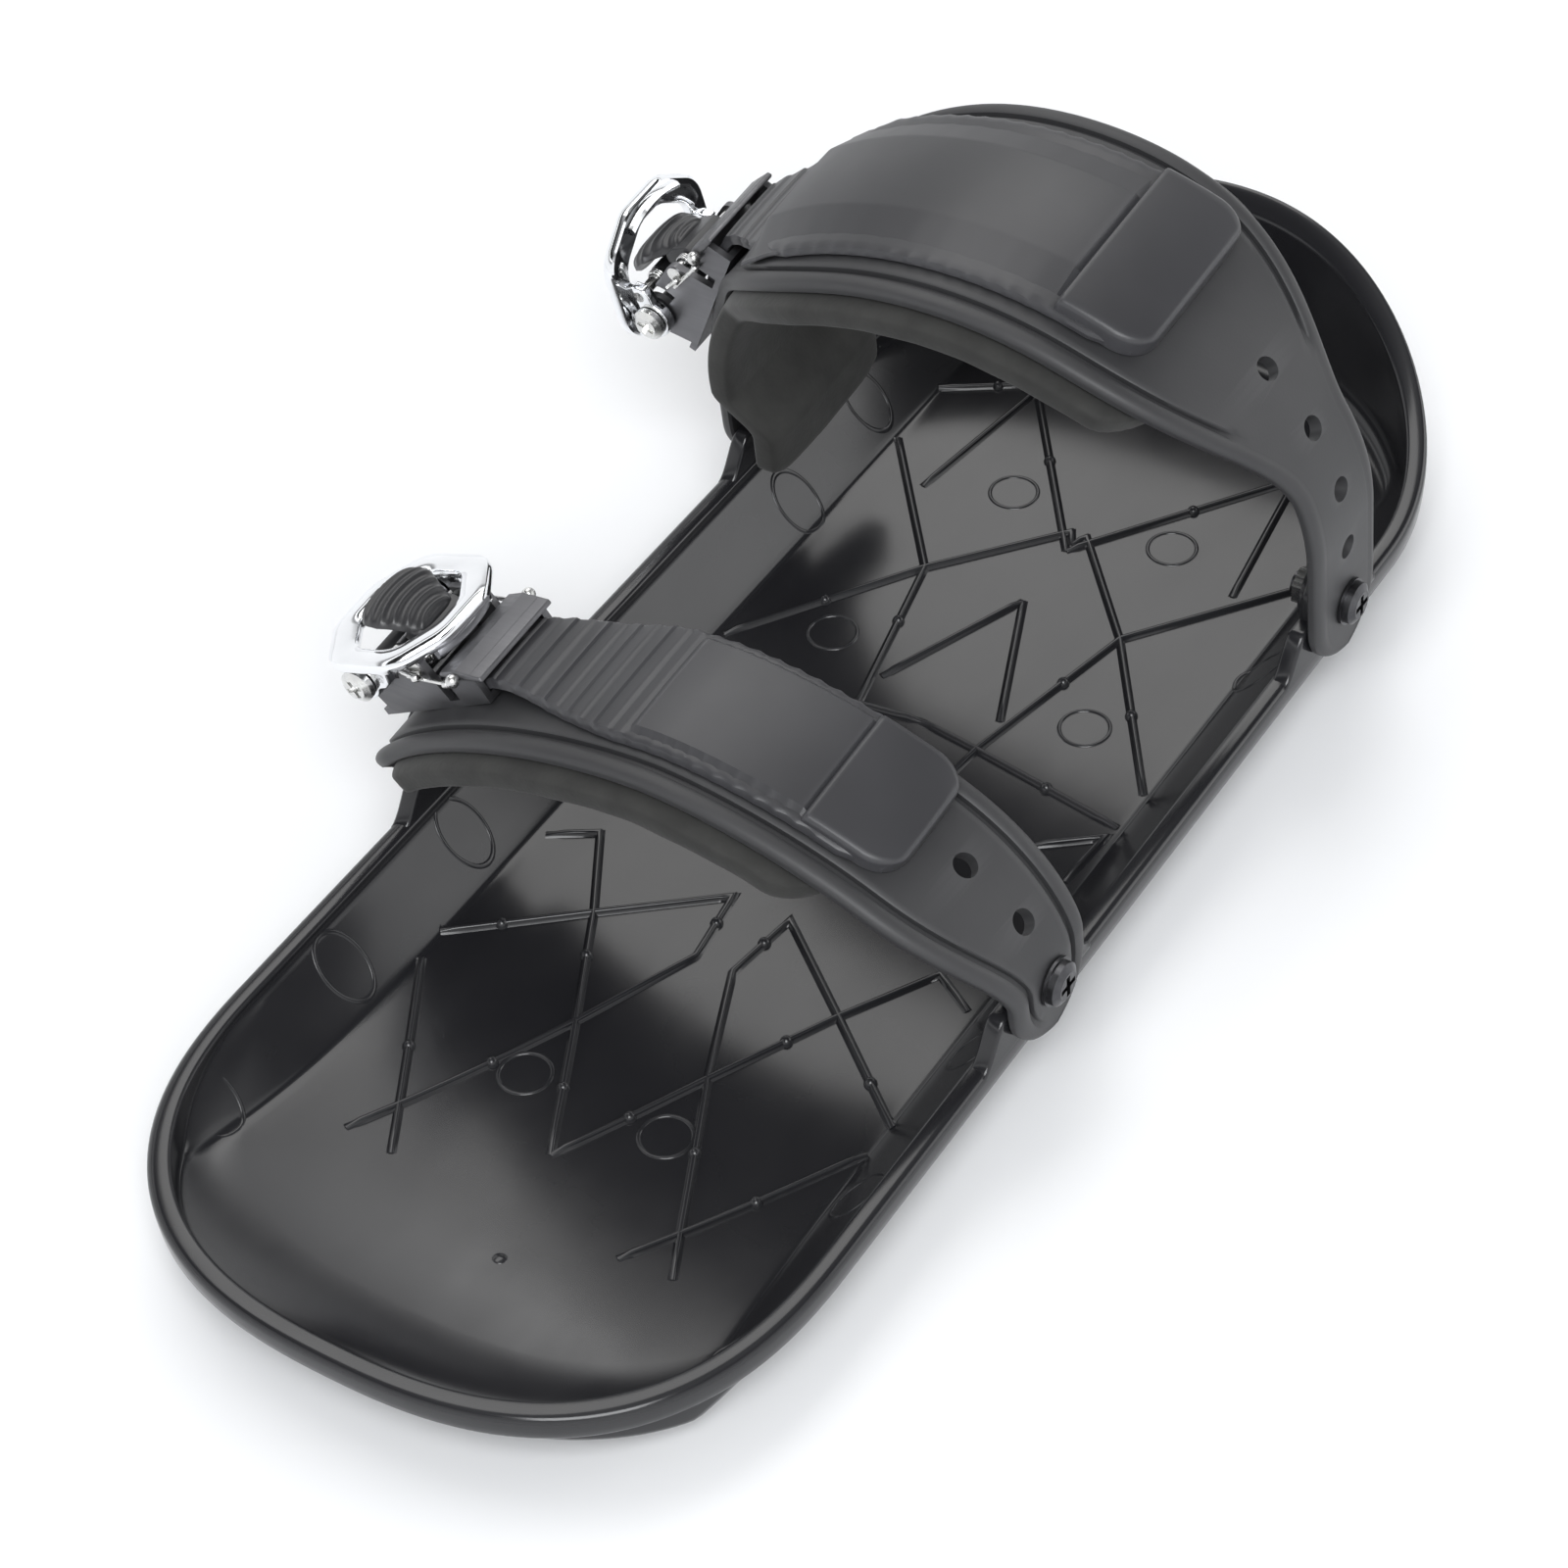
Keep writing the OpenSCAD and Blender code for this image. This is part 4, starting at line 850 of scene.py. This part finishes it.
def make_cover(k):
    """The smooth raised panel along the middle of the band, with bevelled long edges."""
    points, outs = arch(k, np.linspace(k["tab"] + k["tab_arc"] - 0.4, k["lift"] - k["cover_short"], 60))
    wide = k["cover"] / 2
    bevel, low, top = k["cover_shape"]
    rows = []
    for i, (p, out) in enumerate(zip(points, outs)):
        share = min(1.0, 0.5 + 0.5 * i, 0.15 + (len(points) - 1 - i) / 3.0)
        crest = 2.4 + (top - 2.4) * share
        scallop = 0.35 * abs(math.sin(i * math.pi / 5.0))
        side = [(wide - 0.7 - scallop, 0.9), (wide - 0.7 - scallop, low - 0.5), (wide - 1.1 - scallop, low - 0.1),
                (wide - 1.8 - scallop, low), (wide - bevel, crest - 0.15), (wide - bevel - 1.0, crest)]
        rows.append(strap_row(k, p, out, [(-c, h) for c, h in side] + [(0, crest + 0.2)] + side[::-1]))
    add_to(k, "ladder_cover", loft(rows), "ladder", sharp=11)


def make_tab(k):
    """The raised rounded end of the ladder, over its screw."""
    points, outs = arch(k, np.linspace(k["tab"] - 2.5, k["tab"] + k["tab_arc"], 44))
    run = running_length(points)
    wide, corner = k["cover"] / 2 - 1.0, 8.0
    rows = []
    for p, out, s in zip(points, outs, run):
        near = min(s, corner)
        half = wide - corner + math.sqrt(max(0.01, corner ** 2 - (corner - near) ** 2))
        edge = min(s, run[-1] - s)
        high = 0.4 + k["tab_high"] * math.sqrt(max(0.0, 1 - max(0, 1 - edge / 1.3) ** 2))
        profile = [(1, 0.3), (1, high - 1.3), (0.985, high - 0.6), (0.95, high - 0.15), (0.88, high), (0.5, high + 0.2),
                   (0, high + 0.25)]
        section = [(u * half, max(0.3, h)) for u, h in profile]
        rows.append(strap_row(k, p, out, section + [(-c, h) for c, h in section[-2::-1]]))
    add_to(k, "ladder_tab", loft(rows), "ladder", sharp=45)


# ---- buckles

def buckle_world(k, points):
    """From the buckle's own frame (down the strap, across, outwards) to the row frame."""
    points = np.asarray(points, float)
    p, along, up = seat(k)
    flat = p + points[:, :1] * along + points[:, 2:] * up
    return strap_world(k, flat[:, 0], -points[:, 1], flat[:, 1])


def lever_world(k, points):
    """From the lever's frame, turned open about its bolt, to the row frame."""
    points = np.asarray(points, float)
    a = math.radians(k["open"])
    x, z = points[:, 0], points[:, 2]
    turned = np.c_[x * math.cos(a) + z * math.sin(a), points[:, 1], -x * math.sin(a) + z * math.cos(a)]
    return buckle_world(k, turned + np.array([LEVER_S, 0, LEVER_N]))


RING_HALF, RING_FRONT, RING_BACK, BAND, RING_N, RING_DROP = 17.9, 10.2, -23.8, 5.5, 4.6, 9.0
ARM_IN, LUG_T, CORNER = 12.4, 2.6, 11.0


def ring_outline(inset):
    """The lever ring's eight-cornered outline, moved in by inset and rounded."""
    c = CORNER - inset * 0.4
    x0, x1, y = RING_BACK + inset, RING_FRONT - inset, RING_HALF - inset
    corners = [(x0, -y + c), (x0 + c * 0.7, -y), (x1 - c * 0.7, -y), (x1, -y + c),
               (x1, y - c), (x1 - c * 0.7, y), (x0 + c * 0.7, y), (x0, y - c)]
    return round_corners(corners, 8.5 if inset == 0 else 6.5, 12)


def tilt_ring(points):
    """Tips the ring towards the strap and lifts it over the bolt."""
    a = math.radians(RING_DROP)
    x, z = points[:, 0], points[:, 2]
    return np.c_[x * math.cos(a) - z * math.sin(a), points[:, 1], x * math.sin(a) + z * math.cos(a) + RING_N]


def ring_band():
    """The lever's closed band: a domed flat section swept round its rounded outline."""
    outer, inner = ring_outline(0), ring_outline(BAND)
    section = [(0.10, 0.0), (0.03, 0.35), (0.0, 0.9), (0.0, 2.0), (0.05, 2.55), (0.16, 2.9), (0.35, 3.12), (0.6, 3.12),
               (0.82, 2.9), (0.95, 2.5), (1.0, 1.9), (1.0, 0.8), (0.96, 0.3), (0.88, 0.0)]
    points = np.array([[*(a * (1 - u) + b * u), h] for a, b in zip(outer, inner) for u, h in section])
    return tilt_ring(points), hoop_faces(len(outer), len(section))


def folded_lip():
    """The pressed lip folded under the ring's free end."""
    width = RING_HALF - CORNER + 2.2
    section = [(0.0, 0.6), (-0.25, -0.6), (0.1, -1.9), (0.9, -2.4), (1.7, -2.1), (1.9, -1.2), (1.6, -0.2), (1.4, 0.6)]
    rows = [[(RING_BACK + 0.7 + 2.0 * t ** 2 + dx, t * width, h) for dx, h in section] for t in np.linspace(-1, 1, 25)]
    points, faces = loft(rows)
    return tilt_ring(points), faces


def lever_lug(side):
    """One of the lever's two ears, beside the frame, with a round end about the bolt."""
    circle = [(4.6 * math.cos(a), 4.6 * math.sin(a)) for a in np.linspace(-2.6, 0.9, 18)]
    outline = circle + [(5.0, 5.0), (3.2, 6.3), (-6.5, 5.9), (-8.6, 4.4), (-9.2, 1.2), (-8.2, -1.5), (-6.3, -2.4)]
    return side_plate(outline, 1.2, 3, ARM_IN, ARM_IN + LUG_T, 0.45, side)


def make_lever(k):
    """The chrome ring lever: its band, its folded lip and its two lugs."""
    points, faces = join([ring_band(), folded_lip(), lever_lug(1), lever_lug(-1)])
    lever = add_to(k, "lever_ring", (lever_world(k, points), faces), "lever", "lever", sharp=32)
    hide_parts(k["name"] + "_lever")


THUMB_ROWS, THUMB_COLUMNS, THUMB_HALF, THUMB_BOW, THUMB_RIBS = 100, 33, 9.3, 2.6, 7.2
THUMB_ROOT, THUMB_TIP = np.array([0.6, 2.6]), np.array([14.2, 9.8])


def thumb_row(t):
    """One ring of points across the thumb pad: over its ribbed top, then back under it."""
    span = THUMB_TIP - THUMB_ROOT
    centre = THUMB_ROOT + span * t + np.array([0, THUMB_BOW * math.sin(math.pi * t)])
    slope = span + np.array([0, THUMB_BOW * math.pi * math.cos(math.pi * t)])
    slope /= np.linalg.norm(slope)
    up = np.array([-slope[1], slope[0]])
    narrow = 1.0 - 0.35 * max(0, (t - 0.62) / 0.38) ** 2 - 0.45 * max(0, (0.5 - t) / 0.5) ** 1.1
    edge = math.sqrt(max(0, 1 - max(0, abs(2 * t - 1) - 0.86) ** 2 / 0.14 ** 2))
    across = np.linspace(-1, 1, THUMB_COLUMNS)
    row = []
    for v in across:
        bend = t + 0.10 * v * v
        wave = 0.5 + 0.5 * math.cos(2 * math.pi * bend * THUMB_RIBS)
        grip = max(0.0, 1 - abs(v) ** 6) * (1.0 if 0.10 < bend < 0.94 else 0.0)
        c = centre + up * ((1.9 * math.sqrt(max(0.0, 1 - (abs(v) ** 2.6))) + 0.62 * grip * wave ** 1.6) * edge)
        row.append((c[0], v * THUMB_HALF * narrow, c[1]))
    for v in across[-2:0:-1]:
        c = centre - up * 1.1 * math.sqrt(max(0, 1 - v ** 4)) * edge
        row.append((c[0], v * THUMB_HALF * narrow, c[1]))
    return row


def make_release(k):
    """The ribbed thumb pad of the release lever, with its arm down to the pin and its pawl."""
    pad = loft([thumb_row(i / (THUMB_ROWS - 1)) for i in range(THUMB_ROWS)])
    arm_line = [(-2.8, -1.5), (-2.2, 1.8), (0.8, 4.4), (3.6, 5.4), (5.4, 4.0), (3.4, 0.6), (6.0, -3.0), (5.4, -4.4),
                (3.8, -4.2), (0.4, -2.9), (-1.6, -2.7)]
    points, faces = join([pad, side_plate(arm_line, 1.0, 4, -6.4, 6.4, 0.4)])
    points = points + np.array([RELEASE_S, 0, RELEASE_N])
    lever = add_to(k, "thumb_lever", (buckle_world(k, points), faces), "release", "release", sharp=50)
    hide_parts(k["name"] + "_release_lever")


def make_entry_plate(k):
    """The flat plate on the frame's hood that slopes down to the ladder."""
    line = [(-14.6, 5.5), (-13.8, 5.35), (-3.4, 8.0), (-3.1, 8.6), (-3.8, 9.15), (-8.4, 9.05), (-14.3, 6.6)]
    points, faces = side_plate(line, 0.4, 3, -12.4, 12.4, 0.4)
    add_to(k, "entry_plate", (buckle_world(k, points), faces), "frame")


def make_sleeve(k):
    """The dark sleeve round the lever's bolt, between the frame's sides."""
    rings = [[(LEVER_S + r * math.cos(a), y, LEVER_N + r * math.sin(a)) for a in round_angles(36)]
             for y, r in ((-10.2, 2.1), (-9.9, 2.3), (9.9, 2.3), (10.2, 2.1))]
    points, faces = loft(rings)
    add_to(k, "bolt_sleeve", (buckle_world(k, points), faces), "release")


def make_spring_wires(k):
    """Thin spring legs with thick ends, beside the buckle's frame."""
    parts = []
    for a, b in (((6, 12.6, 9.5), (-4.5, 13.0, 6.6)), ((7.4, 12.7, 11.0), (2.4, 13.6, 9.4)),
                 ((6, -12.6, 9.5), (-6.5, -13.0, 6.0))):
        parts.append(rod(a, b, 0.5, 10))
        parts.append(rod((b[0] - 0.6, b[1], b[2]), (b[0] + 0.6, b[1], b[2]), 0.9, 12))
    points, faces = join(parts)
    add_to(k, "spring_legs", (buckle_world(k, points), faces), "hardware")


# ---- carried-over CAD pieces

CAD_SLOTS = {"screws": "screw", "ladder_screw": "screw", "washers": "screw", "nuts": "hardware",
             "buckle_frame": "frame", "frame_rivet": "hardware", "lever_bolt": "hardware",
             "lever_nut": "hardware", "drive_pawl": "pawl", "pin": "hardware", "spring": "hardware"}
CAD_EDGES = {"buckle_frame": 0.35, "screws": 0.2}


def finish_cad_nodes():
    """Gives each CAD piece that still shows the material for its name's ending, and some a rounded edge."""
    for name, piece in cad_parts.items():
        ending = next((end for end in CAD_SLOTS if name.endswith(end)), None)
        if piece.hide_render or ending is None:
            continue
        piece.data.materials.clear()
        piece.data.materials.append(MATERIALS[CAD_SLOTS[ending]])
        if ending in CAD_EDGES:
            soft_edge(piece, CAD_EDGES[ending])


# ---- stage, light and camera

def area_light(name, place, aim, size, power, colour=(1, 1, 1), roll=0):
    """A rectangular lamp aimed at a point and turned about its own axis by roll degrees."""
    data = bpy.data.lights.new(name, "AREA")
    data.shape, data.size, data.size_y, data.energy, data.color = "RECTANGLE", size[0], size[1], power, colour
    lamp = bpy.data.objects.new(name, data)
    lamp.location = place
    turn = (Vector(aim) - Vector(place)).to_track_quat("-Z", "Y")
    lamp.rotation_euler = (turn @ Quaternion((0, 0, 1), math.radians(roll))).to_euler()
    bpy.context.scene.collection.objects.link(lamp)


def make_world():
    """A studio with a bright horizon, a narrow bright strip at mid height and a dark band over it."""
    world = bpy.data.worlds.new("studio")
    world.use_nodes = True
    tree = world.node_tree
    place = tree.nodes.new("ShaderNodeTexCoord")
    parts = tree.nodes.new("ShaderNodeSeparateXYZ")
    ramp = tree.nodes.new("ShaderNodeValToRGB")
    # The sine of the height angle, from 0 at the horizon and below to 1 straight up, with the brightness there
    stops = [(0.0, 1.1), (0.38, 1.0), (0.46, 0.25), (0.51, 0.25), (0.53, 1.6), (0.58, 1.6), (0.60, 0.02), (0.74, 0.02),
             (1.0, 0.5)]
    while len(ramp.color_ramp.elements) < len(stops):
        ramp.color_ramp.elements.new(0.5)
    for stop, (at, level) in zip(ramp.color_ramp.elements, stops):
        stop.position, stop.color = at, (level * 0.98, level * 0.99, level, 1)
    tree.links.new(place.outputs["Generated"], parts.inputs["Vector"])
    tree.links.new(parts.outputs["Z"], ramp.inputs["Fac"])
    tree.links.new(ramp.outputs["Color"], tree.nodes["Background"].inputs["Color"])
    bpy.context.scene.world = world


def make_stage():
    """The paper floor, just under the sole, with the world and three lamps."""
    mesh = bpy.data.meshes.new("studio_floor")
    mesh.from_pydata([(-4, -4, 0), (4, -4, 0), (4, 4, 0), (-4, 4, 0)], [], [(0, 1, 2, 3)])
    floor = bpy.data.objects.new("studio_floor", mesh)
    floor.location.z = -0.0004
    bpy.context.scene.collection.objects.link(floor)
    mesh.materials.append(paper_floor())
    make_world()
    area_light("softbox", (-2.18, 2.22, 5.12), (0, 0, 0), (5.6, 2.9), 135, (1, 0.995, 0.985), roll=38)
    area_light("side_panel", (2.35, 2.6, 1.35), (0, 0, 0.02), (2.0, 1.6), 14)
    area_light("front_top", (0.9, -1.3, 1.9), (0, 0, 0.05), (1.4, 1.2), 44, (0.97, 0.985, 1))
    bpy.context.scene.view_settings.view_transform = "Standard"


CAMERA = dict(azimuth=36.1, elevation=44.4, roll=5.18, distance=0.864, target=(-0.006, -0.013, 0.020), lens=95.4)


def make_camera():
    """The photo's view: the camera looks at the target from azimuth and elevation, and is rolled."""
    a, e, r = (math.radians(CAMERA[v]) for v in ("azimuth", "elevation", "roll"))
    back = Vector((math.sin(a) * math.cos(e), -math.cos(a) * math.cos(e), math.sin(e)))
    right = Vector((math.cos(a), math.sin(a), 0))
    up = back.cross(right)
    turned_right = right * math.cos(r) - up * math.sin(r)
    turned_up = right * math.sin(r) + up * math.cos(r)
    data = bpy.data.cameras.new("camera")
    data.lens, data.sensor_width = CAMERA["lens"], 36.0
    data.clip_start, data.clip_end = 0.01, 20
    camera = bpy.data.objects.new("camera", data)
    turn = Matrix((turned_right, turned_up, back)).transposed().to_4x4()
    turn.translation = Vector(CAMERA["target"]) + back * CAMERA["distance"]
    camera.matrix_world = turn
    bpy.context.scene.collection.objects.link(camera)
    bpy.context.scene.camera = camera


MATERIALS = make_materials()
make_camera()
make_stage()
make_deck()
for binding in (TOE, ANKLE):
    make_strap(binding)
    make_pad(binding)
    make_ladder(binding)
    make_lever(binding)
    make_release(binding)
    make_entry_plate(binding)
    make_sleeve(binding)
    make_spring_wires(binding)
finish_cad_nodes()
